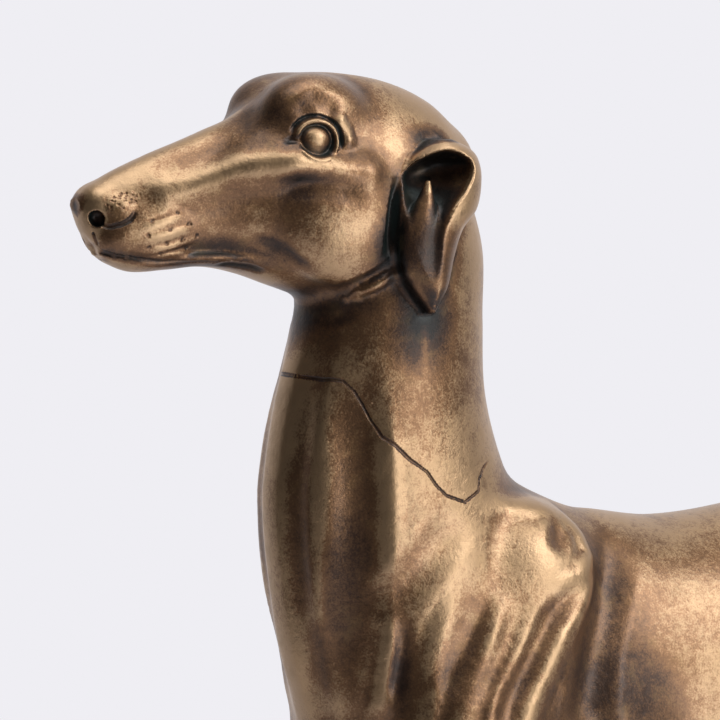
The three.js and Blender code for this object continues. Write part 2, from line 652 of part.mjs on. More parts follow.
// The plinth: a rounded slab, its foot standing out beyond its top, under the four paws
function plinthGeometry() {
  const paws = [foreleg, hindleg].map((leg) => leg[leg.length - 1][0]);
  const front = (paws[0] - pawReach) * figureScale - plinthMarginEnds;
  const back = (paws[1] + hindStagger + pawHeel) * figureScale + plinthMarginEnds;
  const side = (foreleg[foreleg.length - 1][1] + pawHalfWidth) * figureScale + plinthMarginSides;
  const profile = [
    [0, 0],
    [0, plinthHeight * plinthFootShare],
    [plinthStep * 0.35, plinthHeight * plinthFootShare + plinthStep * 0.35],
    [plinthStep, plinthHeight * plinthFootShare + plinthStep * 0.65],
    [plinthStep, plinthHeight - plinthEdge],
    [plinthStep + plinthEdge * 0.3, plinthHeight - plinthEdge * 0.3],
    [plinthStep + plinthEdge, plinthHeight],
  ];
  const arc = 5; // sides to each rounded corner
  const ring = ([inset, z]) => {
    const points = [];
    const reach = [Math.max(-front, back) - inset, side - inset];
    const radius = plinthCornerRadius + plinthStep - inset;
    for (let corner = 0; corner < 4; corner++) for (let i = 0; i <= arc; i++) {
      const turn = (Math.PI / 2) * (corner + i / arc);
      const sign = [corner === 0 || corner === 3 ? 1 : -1, corner < 2 ? 1 : -1];
      const [x, y] = [sign[0] * (reach[0] - radius), sign[1] * (reach[1] - radius)];
      points.push([x + radius * Math.cos(turn), y + radius * Math.sin(turn), z]);
    }
    return points;
  };
  const rings = profile.map(ring);
  const count = rings[0].length;
  const positions = rings.flat();
  const index = [];
  for (let r = 0; r + 1 < rings.length; r++) for (let i = 0; i < count; i++) {
    const [a, b] = [r * count + i, r * count + ((i + 1) % count)];
    index.push(a, b, b + count, a, b + count, a + count);
  }
  const top = (rings.length - 1) * count;
  for (let i = 1; i + 1 < count; i++) index.push(0, i + 1, i, top, top + i, top + i + 1);
  const geometry = new THREE.BufferGeometry();
  geometry.setAttribute("position", new THREE.Float32BufferAttribute(positions.flat(), 3));
  geometry.setIndex(index);
  return geometry;
}

const group = new THREE.Group();
const houndMesh = new THREE.Mesh(houndGeometry(), bronze);
houndMesh.name = "greyhound_casting";
houndMesh.position.z = plinthHeight + seatGap;
group.add(houndMesh);

const plinthMesh = new THREE.Mesh(plinthGeometry(), darkBronze);
plinthMesh.name = "plinth";
group.add(plinthMesh);

export default group;
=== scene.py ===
# %% [markdown]
# A resin greyhound statue
# The real one is cast in resin from a carved model, painted with bronze powder, and rubbed with dark wax so
# that the hollows stay dark and the high places shine. This lesson carves the hound as one form, refines its
# mesh where the detail is, and then builds the finish, the plinth and a small photo studio.

import math

import bmesh
import bpy
import numpy as np
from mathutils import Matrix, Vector


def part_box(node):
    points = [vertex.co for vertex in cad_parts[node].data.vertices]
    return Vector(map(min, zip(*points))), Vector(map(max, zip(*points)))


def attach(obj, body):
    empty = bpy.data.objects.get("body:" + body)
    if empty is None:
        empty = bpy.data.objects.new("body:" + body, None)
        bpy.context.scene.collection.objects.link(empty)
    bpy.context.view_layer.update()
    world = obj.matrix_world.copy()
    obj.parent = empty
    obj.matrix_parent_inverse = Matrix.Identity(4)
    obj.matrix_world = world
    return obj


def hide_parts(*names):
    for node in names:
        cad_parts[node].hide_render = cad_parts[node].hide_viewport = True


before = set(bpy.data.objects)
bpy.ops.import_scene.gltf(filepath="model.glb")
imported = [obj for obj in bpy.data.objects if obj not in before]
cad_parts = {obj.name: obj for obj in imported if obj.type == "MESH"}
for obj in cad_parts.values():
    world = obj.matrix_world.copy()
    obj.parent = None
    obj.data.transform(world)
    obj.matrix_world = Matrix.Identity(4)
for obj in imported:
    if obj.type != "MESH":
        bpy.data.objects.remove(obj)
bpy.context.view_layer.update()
cad_low, cad_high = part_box("greyhound_casting")
plinth_low, plinth_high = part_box("plinth")
print("CAD nodes:", sorted(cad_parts))

# %% [markdown]
# The carving's own units
# The hound is carved in millimetres from the soles of its paws, looking along -X, as its CAD solid is.
# Places are forward-back, out from the mirror plane, and up. One lift brings them into the frame, and the
# solid's soles say how high it is.

# %% Sizes
MM = 0.001
lift = cad_low.z / MM  # the soles stand this far above the floor
print("soles at", round(lift, 2), "mm, crown at", round(cad_high.z / MM, 1), "mm")

# %% [markdown]
# Field tools
# A sculptor in clay adds masses and smooths them together. A field does the same in numbers: for every point
# of space it is below zero inside the hound, and blending two fields melts two forms together over a fillet.
# It was chosen over joined mesh primitives because a casting has no seams between its muscles.

# %% Smooth curves


def curve_through(stations):
    """A smooth curve through stations [t, value, value, ...]."""
    table = np.array(stations, float)
    places, values = table[:, 0], table[:, 1:]
    count = len(places)
    before = np.maximum(np.arange(count) - 1, 0)
    after = np.minimum(np.arange(count) + 1, count - 1)
    slopes = (values[after] - values[before]) / (places[after] - places[before])[:, None]

    def curve(t):
        t = np.clip(t, places[0], places[-1])
        span = np.clip(np.searchsorted(places, t, side="right") - 1, 0, count - 2)
        step = (places[span + 1] - places[span])[:, None]
        u = ((t - places[span]))[:, None] / step
        a, b = values[span], values[span + 1]
        ma, mb = slopes[span] * step, slopes[span + 1] * step
        rows = a * (1 + u * u * (2 * u - 3)) + b * u * u * (3 - 2 * u)
        rows += ma * u * (1 - u) ** 2 + mb * u * u * (u - 1)
        return rows.T

    return curve


halfway = curve_through([[0, 0], [1, 1], [2, 4]])(np.array([1.5]))
print("a curve through 0, 1 and 4 passes", halfway[0, 0], "between the last two")

# %% Lofts


def ellipse(*pairs):
    """Nearly the distance to an ellipse or ellipsoid, from offsets and radii."""
    near = sum((offset / radius) ** 2 for offset, radius in pairs)
    steep = sum((offset / (radius * radius)) ** 2 for offset, radius in pairs)
    near = np.sqrt(near)
    return near * (near - 1) / np.sqrt(np.maximum(steep, 1e-9))


def loft(stations, egg=0.0):
    """A body drawn by two lines and a half width at stations. egg above 0 makes it wider high up."""
    curve = curve_through(stations)
    first, last = stations[0][0], stations[-1][0]

    def field(along, out, across):
        high, low, wide = curve(along)
        half = (high - low) / 2
        offset = across - (high + low) / 2
        lean = np.clip(offset / half, -1, 1)
        skin = ellipse((offset, half), (out, wide * (1 + egg * lean)))
        beyond = np.maximum(np.maximum(first - along, along - last), 0)
        return np.where(beyond > 0, np.hypot(np.maximum(skin, 0), beyond), skin)

    return field


print("nearly the distance from 12 to a circle of 10:", ellipse((12.0, 10.0)))

# %% Tapers and balls


def taper(a, b, ra, rb, flat=1.0, flat_end=None):
    """A bone or muscle: a rounded taper from a to b, flattened sideways by flat, or from flat to flat_end."""
    run = [b[k] - a[k] for k in range(3)]
    long = sum(r * r for r in run)
    more = 0.0 if flat_end is None else flat_end - flat

    def field(x, w, z):
        px, pw, pz = x - a[0], w - a[1], z - a[2]
        t = np.clip((px * run[0] + pw * run[1] + pz * run[2]) / long, 0, 1)
        thin = flat + t * more
        away = np.sqrt((px - t * run[0]) ** 2 + ((pw - t * run[1]) / thin) ** 2 + (pz - t * run[2]) ** 2)
        return (away - (ra + t * (rb - ra))) * np.minimum(1.0, thin)

    return field


def ball(centre, radii, tilt=0.0):
    """An ellipsoid, its length tipped nose-down by tilt degrees."""
    cos, sin = math.cos(math.radians(tilt)), math.sin(math.radians(tilt))

    def field(x, w, z):
        px, pz = x - centre[0], z - centre[2]
        along, across = px * cos + pz * sin, pz * cos - px * sin
        return ellipse((along, radii[0]), (w - centre[1], radii[1]), (across, radii[2]))

    return field


print("at the middle of a taper's thin end:", taper([0, 0, 0], [10, 0, 0], 2, 4)(0.0, 0.0, 0.0))

# %% Fillets


def blend(a, b, fillet):
    """The union of two fields, melted together over a fillet."""
    h = np.maximum(fillet - np.abs(a - b), 0) / fillet
    return np.minimum(a, b) - h * h * fillet / 4


def hollow(a, b, fillet):
    """Field a with b scooped out of it."""
    return -blend(-a, b, fillet)


print("where two skins cross, a fillet of 4 adds", -blend(0.0, 0.0, 4))

# %% [markdown]
# Strokes of a carver's tool
# A carver draws a gouge along a line to cut a furrow, or leaves a ridge standing between two cuts. A stroke
# does this to the field: it lifts or lowers the skin along a path, softly at its sides and its ends. It was
# chosen over sculpted vertices because the mesh can then be made as fine as wanted after the strokes are
# drawn.

# %% A stroke
# Which way it faces: its depth counts for less than its place on the skin
SIDE, FRONT = (1, 0.35, 1), (0.35, 1, 1)


def stroke(places, width, rise, faces=SIDE, ends=0.3):
    """A stroke of the carver's tool: raises the skin by rise, or hollows it where rise is below 0.
    It fades in and out over ends, a share of its length."""
    return (np.array(places, float), width, rise, np.array(faces, float), ends)


def distance_to(path, x, w, z):
    """The distance from points to a path of straight runs."""
    here = np.stack([x, w, z], 1)
    path = np.array(path, float)
    nearest = np.full(len(here), 1e9)
    for a, b in zip(path, path[1:]):
        t = np.clip((here - a) @ (b - a) / ((b - a) @ (b - a)), 0, 1)
        nearest = np.minimum(nearest, ((here - a - t[:, None] * (b - a)) ** 2).sum(1))
    return np.sqrt(nearest)


def stroke_rise(line, x, w, z):
    """What one stroke adds at points near it."""
    spots, width, rise, faces, ends = line
    spots = spots * faces
    here = np.stack([x, w, z], 1) * faces
    lengths = np.linalg.norm(np.diff(spots, axis=0), axis=1)
    starts = np.concatenate([[0], np.cumsum(lengths)])
    nearest = np.full(len(here), 1e9)
    along = np.zeros(len(here))
    for i, length in enumerate(lengths):
        run = (spots[i + 1] - spots[i]) / length
        t = np.clip((here - spots[i]) @ run, 0, length)
        away = ((here - spots[i] - t[:, None] * run) ** 2).sum(1)
        closer = away < nearest
        nearest = np.where(closer, away, nearest)
        along = np.where(closer, (starts[i] + t) / starts[-1], along)
    across = np.clip(1 - nearest / width**2, 0, 1) ** 2
    if ends:
        fade = np.clip(np.minimum(along, 1 - along) / ends + 0.05, 0, 1)
        across = across * fade * fade * (3 - 2 * fade)
    return rise * across


# %% Strokes cut into a field


def add_strokes(field, strokes, x, w, z):
    """The field with each stroke cut into it, worked out only for the points near the stroke."""
    field = field.copy()
    for line in strokes:
        spots, width, _, faces, _ = line
        low, high = (spots.min(0) - width / faces), (spots.max(0) + width / faces)
        near = (x > low[0]) & (x < high[0]) & (w > low[1]) & (w < high[1])
        near = np.flatnonzero(near & (z > low[2]) & (z < high[2]))
        if near.size:
            field[near] -= stroke_rise(line, x[near], w[near], z[near])
    return field


print("directions that strokes face:", SIDE, FRONT)

# %% [markdown]
# The great masses
# Trunk, neck, skull and jaw are lofts: a top line, an under line and a half width at stations, the way a
# carver saws a block to its profile first. The same stations shape the CAD solid, so the two agree.

# %% Trunk and neck
trunk = loft([
    [-236, 316, 300, 8],
    [-228, 337, 280, 21],
    [-210, 367, 248, 34],
    [-188, 394, 224, 41],
    [-160, 415, 210, 44],
    [-130, 413, 206, 45.5],
    [-98, 408.5, 208, 47],
    [-60, 411, 217, 47],
    [-25, 418, 234, 45],
    [10, 425, 258, 40],
    [45, 428, 283, 34],
    [75, 427, 298, 31],
    [105, 421, 300, 34],
    [135, 409, 297, 36],
    [160, 394, 301, 33],
    [180, 376, 312, 24],
    [193, 356, 330, 11],
], 0.14)
neck = loft([
    [290, -128, -236, 32],
    [325, -130, -241, 38],
    [345, -131, -246, 41],
    [372, -136, -253.5, 41],
    [400, -150, -258, 39],
    [415, -157.5, -259.5, 37],
    [429, -166.5, -259.5, 35],
    [457, -175, -255, 31],
    [485, -176, -247, 28],
    [510, -176, -242, 26],
    [535, -183, -240, 22],
], -0.06)
print("lofts for the trunk and neck")

# %% Skull and lower jaw
skull = loft([
    [-333, 530.5, 526, 4],
    [-330, 533.5, 518.5, 7],
    [-325, 536.4, 514.5, 9],
    [-318, 539.8, 511.5, 11],
    [-306, 544.7, 508.8, 12.5],
    [-294, 549, 508, 13.5],
    [-284, 552.8, 507.4, 15],
    [-275, 556.3, 505, 17.5],
    [-266, 562, 502, 21],
    [-257, 568.5, 499, 24],
    [-245, 571.8, 496.5, 26],
    [-228, 571.2, 496.5, 26.5],
    [-212, 568, 501, 25],
    [-198, 562, 508, 21],
    [-189, 555, 517, 16],
    [-182.5, 549.5, 527, 10.5],
    [-178.6, 543, 534, 5],
    [-177.6, 540, 537, 2],
], -0.12)
lower_jaw = loft([
    [-325, 513, 511, 3],
    [-321, 514.5, 507.8, 6.5],
    [-313, 514.5, 505, 8.8],
    [-301, 513.5, 505.3, 10],
    [-287, 513, 506, 11.3],
    [-272, 514, 503.2, 13],
    [-258, 517, 498.3, 15],
    [-245, 521, 494, 17],
    [-228, 524, 493, 17],
    [-212, 525, 498, 13],
])
print("lofts for the skull and jaw")

# %% [markdown]
# Bones and muscles
# A greyhound has almost no fat, so its bones and muscles read through the skin. Each is a ball or a taper on
# the near half, mirrored to the far one, with the fillet that melts it in. Such plain forms are enough,
# because the fillets between them do the modelling.

# %% Masses of the head
head_masses = [
    [ball([-250, 13.5, 555.5], [16, 8, 11.5]), 9],  # brow
    [ball([-250, 11.5, 561], [14.5, 9, 8.6]), 9],  # edge of the forehead
    [ball([-266.5, 12, 543.5], [12, 8, 8]), 9],  # from the brow down to the muzzle
    [taper([-304, 9.6, 532], [-262, 19.5, 541], 1.6, 3.2), 9],  # cheekbone, from the muzzle to below the eye
    [taper([-262, 19.5, 541], [-236, 24.5, 538], 3.2, 3.2), 8],  # cheekbone, back below the temple
    [ball([-238, 19.5, 519], [23, 10, 20]), 8],  # jaw muscle
    [ball([-326.4, 3, 529], [4.6, 5, 4.6]), 4],  # nose pad
    [ball([-321.6, 4.5, 517], [5.4, 6, 5.4]), 5],  # upper lip
    [ball([-320.6, 7.2, 527], [5.2, 4.2, 4.3], 10), 2],  # wing of the nose
    [ball([-309, 7.5, 518], [13, 5.6, 8.5]), 6],  # whisker pad
]
head_hollows = [
    [ball([-328.2, 6.4, 523.8], [2.7, 2.6, 3.0], 25), 0.8],  # nostril
    [ball([-253.4, 26.8, 549.2], [6.7, 7, 6.2]), 1.4],  # eye socket
]
eyeball = ball([-253.5, 21, 549], [6.3, 4.6, 5.6])
print(len(head_masses), "masses and", len(head_hollows), "hollows on each side of the head")

# %% Masses of the body
body_masses = [
    [ball([-170, 25, 398], [20, 14, 20]), 8],  # top of the shoulder blade
    [taper([-168, 26, 385], [-200, 34, 345], 15, 20, 0.8), 16],  # shoulder blade
    [ball([-196, 36, 330], [22, 16, 26]), 14],  # point of the shoulder
    [taper([-192, 35, 322], [-134, 39, 256], 20, 15, 0.8), 14],  # upper arm
    [ball([-142, 36, 305], [27, 13, 46], 14), 16],  # triceps
    [taper([-222, 13, 328], [-205, 12, 262], 17, 15), 14],  # breast
    [ball([118, 24, 372], [52, 19, 44], 20), 20],  # croup
    [ball([116, 31, 328], [48, 18, 60], 20), 18],  # thigh
    [taper([166, 21, 370], [130, 33, 258], 22, 13, 0.75), 16],  # hamstring
]
print(len(body_masses), "bones and muscles on each side of the body")

# %% [markdown]
# Legs, tail and paws
# The photograph ends at the shoulder, so the legs, paws and tail are those of any greyhound that stands, and
# are kept plain. Each is a smooth chain of short tapers through stations, because a leg thickens at its
# joints and thins between them. A chain of balls would show its beads.

# %% Stations of the legs and tail
foreleg = [  # forward-back, out, up, half depth, half width
    [-134, 39, 262, 21, 14],
    [-132, 39, 232, 17.5, 12.5],
    [-139, 37, 195, 13.5, 11],
    [-145, 36, 155, 10.5, 9.5],
    [-148, 35.5, 122, 9.6, 9],
    [-149, 35.5, 101, 11, 10.5],
    [-148, 35.5, 82, 9, 8.8],
    [-149, 35.5, 50, 8.8, 9],
    [-155, 35.5, 26, 10, 11],
]
hindleg = [
    [112, 36, 300, 40, 18],
    [96, 38, 254, 23, 15.5],
    [107, 38, 224, 20, 13],
    [132, 37, 180, 14.5, 10.5],
    [158, 36.5, 142, 9.5, 8],
    [172, 36, 118, 11, 9.5],
    [173, 36, 96, 9, 8.5],
    [168, 36, 55, 8.4, 8.8],
    [162, 36, 27, 10, 11],
]
hind_stagger = 15  # the near hind leg stands this far back, and the far one as far forward
stagger_from, stagger_over = 300, 120  # the height where that starts, and over how much it grows
tail = [
    [184, 0, 374, 13, 13],
    [203, 0, 345, 10.5, 10.5],
    [212, 0, 290, 9, 9],
    [214, 0, 225, 8.2, 8.2],
    [217, 0, 165, 7.6, 7.6],
    [226, 0, 125, 7.2, 7.2],
    [240, 0, 104, 6.6, 6.6],
]
print(len(foreleg) + len(hindleg) + len(tail), "stations in the legs and tail")

# %% Limbs


def limb(stations, links_to_a_run=3):
    """A smooth chain of short tapers through stations, each flattened to its own width."""
    curve = curve_through([[i, *station] for i, station in enumerate(stations)])
    runs = len(stations) - 1
    rows = curve(np.linspace(0, runs, runs * links_to_a_run + 1)).T
    links = [taper(a[:3], b[:3], a[3], b[3], a[4] / a[3], b[4] / b[3]) for a, b in zip(rows, rows[1:])]

    def field(x, w, z):
        made = links[0](x, w, z)
        for link in links[1:]:
            made = np.minimum(made, link(x, w, z))
        return made

    return field


heel_tendon = taper([146, 36.5, 178], [183, 36, 127], 3, 5, 0.8)  # from the calf to the point of the hock
foreleg_field, hindleg_field, tail_field = limb(foreleg), limb(hindleg), limb(tail)
print("field in the middle of the forearm:", np.round(foreleg_field(-139.0, 37.0, 195.0), 1))

# %% Paws
toes = [  # forward of the pastern's middle, out, up, size
    [-20, -4.6, 11, 1],
    [-20, 4.6, 11, 1],
    [-13, -11, 10, 0.92],
    [-13, 11, 10, 0.92],
]
toe_half, toe_tilt = [14, 5.6, 10.5], -14  # a middle toe's half length, width and height, and how it arches
heel_half, heel_height = [15, 11.5, 13], 12


def paw(pastern):
    """Four arched toes before a heel pad, where the pastern meets it."""
    hx, hw = pastern[:2]
    heel = ball([hx - 3, hw, heel_height], heel_half)
    parts = [
        ball([hx + forward, hw + out, up], [half * size for half in toe_half], toe_tilt)
        for forward, out, up, size in toes
    ]

    def field(x, w, z):
        pad = heel(x, w, z)
        grown = pad
        for toe in parts:
            grown = blend(grown, toe(x, w, z), 2)
        return blend(pad, grown, 5)

    return field


forepaw, hindpaw = paw(foreleg[-1]), paw(hindleg[-1])
print(len(toes), "toes on each paw")

# %% [markdown]
# The ear
# A greyhound at rest folds its ear back like a rose petal. On the casting it is a leaf fused to the neck,
# opened in front by a scoop whose hind edge is left standing as a thin bright rim. A bent sheet would be
# simpler, but it would be thin at its root, where a casting is thick.

# %% Ear
ear_seat = 24
ear_leaf = loft([  # height, hind edge, fore edge, reach out from ear_seat
    [489.5, -211, -215, 9],
    [497.5, -205.5, -221, 13.5],
    [509.6, -202, -225.5, 15.5],
    [518, -198.5, -226, 15.8],
    [525, -192.5, -225, 16],
    [535.5, -190.3, -221.5, 14.5],
    [542.4, -191.5, -217.5, 12],
    [546, -195, -213, 9.5],
    [548.8, -201, -209, 5],
])
scoop_face = 43
ear_scoop = loft([  # height, hind edge, fore edge, depth in from scoop_face
    [493, -213.2, -217, 3.5],
    [505, -213, -223, 5.5],
    [511, -213, -226.5, 6.8],
    [516, -213, -228, 8.2],
    [521, -211.5, -228.5, 10],
    [526, -208.5, -228.5, 13],
    [532, -202.5, -227, 18],
    [537, -198.6, -225, 22],
    [541, -197.8, -221, 20],
    [544, -201, -216, 14],
    [546, -204.5, -211.5, 8],
])
flap_seat = 32.5
ear_flap = loft([  # the leaf's fore edge, rolled inwards: height, hind edge, fore edge, half thickness
    [489.8, -212.6, -214.4, 2.4],
    [499.5, -210, -221.4, 4.4],
    [508, -209.2, -225, 5.2],
    [517, -209.6, -224.6, 5],
    [525, -211.6, -221, 3.6],
    [531, -213.2, -217.6, 2.2],
    [535, -214, -215.6, 1],
])
print("ear: a leaf, a scoop and a rolled flap")

# %% [markdown]
# Furrows and ridges
# Veins, tendons and folds of skin cross the masses: the furrow of the throat, the rim of the shoulder blade
# and the folds before and behind it. Each is one stroke of a round-nosed gouge, from the head back to the
# thigh.

# %% Broad strokes of the carver's tool
broad_strokes = [
    # Mouth, and the slot before the ear
    stroke([[-327, 8, 512.5], [-317, 10, 510.4], [-306, 11.5, 509], [-294, 13, 508.8]], 2.6, -0.6),
    stroke([[-223, 27, 537], [-226.2, 28, 527], [-227.6, 29, 518], [-228.6, 30, 508]], 2.6, -3.4, ends=0.4),
    # Cheekbone, with the hollow below it
    stroke([[-298, 12, 537], [-280, 15, 541.5], [-262.5, 21, 541.5], [-250, 25, 540],
            [-239, 27, 536]], 6.5, 1.5),
    stroke([[-270, 18, 534.5], [-262, 21, 534], [-246, 26, 532.5], [-236, 27, 530]], 7, -1.1),
    # Hollow above the upper lid, and the rim of the orbit behind the eye
    stroke([[-262, 18, 557], [-253, 20, 561.5], [-243, 22, 558]], 6, -1.3),
    stroke([[-247, 22, 559], [-242, 25, 552], [-240.5, 26, 545]], 4, 1.3),
    # Fold of the throat behind the jaw, with a crease on each side of it
    stroke([[-251, 15, 491.8], [-246.4, 20, 491], [-238, 26, 495], [-229.3, 28, 499.8],
            [-221, 29, 504.5]], 3.4, 1.8),
    stroke([[-257, 14, 495], [-249, 20, 494.8], [-240, 26, 499], [-231, 28, 503.6],
            [-224, 29, 508]], 2.8, -1.3),
    stroke([[-252, 16, 486.6], [-243, 22, 486.6], [-235, 27, 491]], 4.5, -1.2),
    # Down the neck: the channel beside the windpipe, the strap of muscle, its furrow and that one's hind edge
    stroke([[-256, 12, 486], [-258, 12.5, 420], [-247, 12, 335]], 8, -1.7, FRONT, 0.15),
    stroke([[-248, 19, 480], [-254, 20, 430], [-252, 20.5, 400], [-247, 16, 368],
            [-240, 12, 335]], 9, 0.7, FRONT, 0.15),
    stroke([[-240, 22, 476], [-239, 25, 439], [-240, 26, 412], [-241, 25, 384],
            [-241, 18, 350]], 12, -3.3, ends=0.25),
    stroke([[-229, 28, 462], [-230.5, 30, 440], [-231, 33, 412], [-230.5, 31, 388]], 7, 0.9, ends=0.35),
    # Hollow before the shoulder, the rim of the blade and the hollow inside it
    stroke([[-202, 35, 420], [-216, 38, 406], [-227, 34, 394], [-232, 30, 382]], 11, -1.8),
    stroke([[-193, 34, 417], [-182, 28, 420], [-166, 22, 419.5], [-155, 19, 416], [-149.5, 27, 409],
            [-149, 31, 401], [-157, 35, 395], [-171, 41, 390]], 6, 2),
    stroke([[-159, 24, 413], [-163, 32, 408], [-167, 36, 402]], 7, -1.8, ends=0.45),
    # Folds of skin over the shoulder, from the front one to the hind one, with the furrows between them
    stroke([[-228, 31, 386], [-230, 29, 372], [-231, 28, 361], [-234, 24, 345]], 5, 1.4),
    stroke([[-226, 34, 388], [-227, 30, 372], [-229, 29, 352]], 5, -1.6),
    stroke([[-205, 39, 396], [-213, 39, 381], [-218, 38, 369], [-220, 35, 355], [-226, 36, 335]], 7, 1.4),
    stroke([[-193, 37, 392], [-201, 39, 378], [-204, 40, 371], [-210, 41, 362], [-219, 44, 338]], 7, -1.0),
    stroke([[-187, 40, 391], [-197, 44, 374], [-203, 46, 366], [-209, 49, 355], [-218, 48, 333]], 7, 1.3),
    stroke([[-179, 43, 391], [-193, 47, 373], [-205, 51, 357], [-214, 52, 333]], 7, -1.4),
    stroke([[-152, 33, 394], [-164, 38, 386], [-172, 43, 381], [-183, 47, 366], [-192, 52, 355],
            [-203, 54, 333]], 7, -1.8),
    stroke([[-135, 24, 402], [-151, 35, 391], [-163, 41, 380], [-174, 45, 366], [-184, 49, 352],
            [-194, 52, 333]], 8, 1.8),
    # Hollow behind the shoulder, flank and furrow of the thigh
    stroke([[-128, 18, 409], [-141, 34, 388], [-151, 44, 368], [-157, 50, 348], [-147, 52, 318],
            [-124, 50, 275]], 13, -4, ends=0.2),
    stroke([[72, 28, 405], [78, 33, 360], [60, 34, 310]], 20, -4),
    stroke([[120, 48, 335], [132, 46, 285]], 10, -2.5),
]
print(len(broad_strokes), "broad strokes")

# %% [markdown]
# The whole hound
# Every part meets here, each melted in over its own fillet as a modeller smooths wax into a joint. Points
# far from the head, the legs or the tail skip those parts, which keeps the sum fast.

# %% Fillets, and how far each part reaches
fillets = {"neck": 26, "head": 7, "jaw": 2, "eyeball": 0.8, "ear": 2.5}
fillets |= {"leg": 12, "tendon": 9, "paw": 5, "tail": 8}
scoop_lip, ear_bed, flap_fillet = 1, 1.5, 2  # how sharp the ear's rim, its seat and its flap are
head_from, head_back = 462, -150  # the head lies above and before these
legs_below, foreleg_back, hindleg_front, tail_front = 356, -85, 35, 150  # where the limbs can reach
print("fillets in millimetres:", fillets)

# %% Add each part


def for_points(mask, change, field, *places):
    """The field with change worked out for the masked points alone."""
    picked = np.flatnonzero(mask)
    if picked.size:
        field = field.copy()
        field[picked] = change(field[picked], *[p[picked] for p in places])
    return field


def add_head(field, x, w, z):
    head = blend(skull(x, w, z), lower_jaw(x, w, z), fillets["jaw"])
    for form, fillet in head_masses:
        head = blend(head, form(x, w, z), fillet)
    for form, fillet in head_hollows:
        head = hollow(head, form(x, w, z), fillet)
    head = blend(head, eyeball(x, w, z), fillets["eyeball"])
    field = blend(field, head, fillets["head"])
    scoop = ear_scoop(z, w - scoop_face, x)
    ear = hollow(ear_leaf(z, w - ear_seat, x), scoop, scoop_lip)
    field = hollow(blend(field, ear, fillets["ear"]), scoop, ear_bed)
    return blend(field, ear_flap(z, w - flap_seat, x), flap_fillet)


def add_foreleg(field, x, w, z):
    field = blend(field, foreleg_field(x, w, z), fillets["leg"])
    return blend(field, forepaw(x, w, z), fillets["paw"])


def add_hindleg(field, x, y, w, z):
    ramp = np.clip((stagger_from - z) / stagger_over, 0, 1)
    x = x - ramp * ramp * (3 - 2 * ramp) * np.where(y < 0, hind_stagger, -hind_stagger)
    leg = blend(hindleg_field(x, w, z), heel_tendon(x, w, z), fillets["tendon"])
    return blend(blend(field, leg, fillets["leg"]), hindpaw(x, w, z), fillets["paw"])


def add_tail(field, x, w, z):
    return blend(field, tail_field(x, w, z), fillets["tail"])


# %% The smooth hound


def smooth_hound(x, y, z):
    """The big forms of the hound: its field at places in millimetres. y below 0 is the near side."""
    w = np.abs(y)
    field = blend(trunk(x, w, z), neck(z, w, x), fillets["neck"])
    for form, fillet in body_masses:
        field = blend(field, form(x, w, z), fillet)
    field = for_points((z < legs_below) & (x < foreleg_back), add_foreleg, field, x, w, z)
    field = for_points((z < legs_below) & (x > hindleg_front), add_hindleg, field, x, y, w, z)
    field = for_points(x > tail_front, add_tail, field, x, w, z)
    field = for_points((z > head_from) & (x < head_back), add_head, field, x, w, z)
    field = add_strokes(field, broad_strokes, x, w, z)
    return np.maximum(field, -z)


inside = smooth_hound(np.array([-150.0]), np.array([0.0]), np.array([300.0]))[0]
print("the field in the middle of the chest is", round(float(inside), 1))

# %% Places drawn onto the skin


def slope_at(field, points, probe=0.15):
    """The field and its slope at points, by small steps along each axis."""
    here = field(*points.T)
    slope = np.zeros_like(points)
    for k in range(3):
        ahead, behind = points.copy(), points.copy()
        ahead[:, k] += probe
        behind[:, k] -= probe
        slope[:, k] = (field(*ahead.T) - field(*behind.T)) / (2 * probe)
    return here, slope


def draw_onto(field, points, rounds, reach):
    """Moves points along the slope onto the skin, no further than reach in a round."""
    for _ in range(rounds):
        here, slope = slope_at(field, points)
        steep = np.maximum((slope**2).sum(1), 0.2)
        points = points - (np.clip(here, -reach, reach) / steep)[:, None] * slope
    return points


def laid_on_skin(course, steps):
    """A course on the near side, with steps places to each run, drawn onto the skin."""
    course = np.array(course, float)
    places = [a + (b - a) * i / steps for a, b in zip(course, course[1:]) for i in range(steps)]
    places = np.array([*places, course[-1]]) * (1, -1, 1)
    return draw_onto(smooth_hound, places, 5, 2.0) * (1, -1, 1)


windpipe = laid_on_skin([[-256, 12, 486], [-258, 12.5, 420]], 2)
print("beside the windpipe the skin lies", np.round(windpipe[:, 1], 1), "mm out")

# %% [markdown]
# Fine tooling
# The eye, the nose and the lips are cut with a small gouge after the big forms are smooth. Each cut follows
# the skin under it. They could be a bump pattern, but a cut lid has an edge that shows from every side.

# %% Fine strokes
eye_middle = (-253.5, 22, 549.2)
eye_length = 1.12  # over its height


def round_eye(out, start, end, width, rise, steps):
    """A stroke round the eye from start to end degrees. 0 is behind the eye and 90 is above it."""
    turns = [math.radians(start + (end - start) * i / (steps - 1)) for i in range(steps)]
    x, w, z = eye_middle
    places = [[x + eye_length * out * math.cos(t), w, z + out * math.sin(t)] for t in turns]
    return stroke(places, width, rise, (1, 0.1, 1), 0.15)


def gouge(course, width, rise, ends=0.3, steps=2):
    """A fine stroke that follows the skin."""
    return stroke(laid_on_skin(course, steps), width, rise, (1, 1, 1), ends)


def pit(x, w, z, radius=0.75, depth=0.6):
    """A small round hole, as where a whisker grows."""
    return gouge([[x - 0.15, w, z], [x + 0.15, w, z]], radius, -depth, 0, 1)


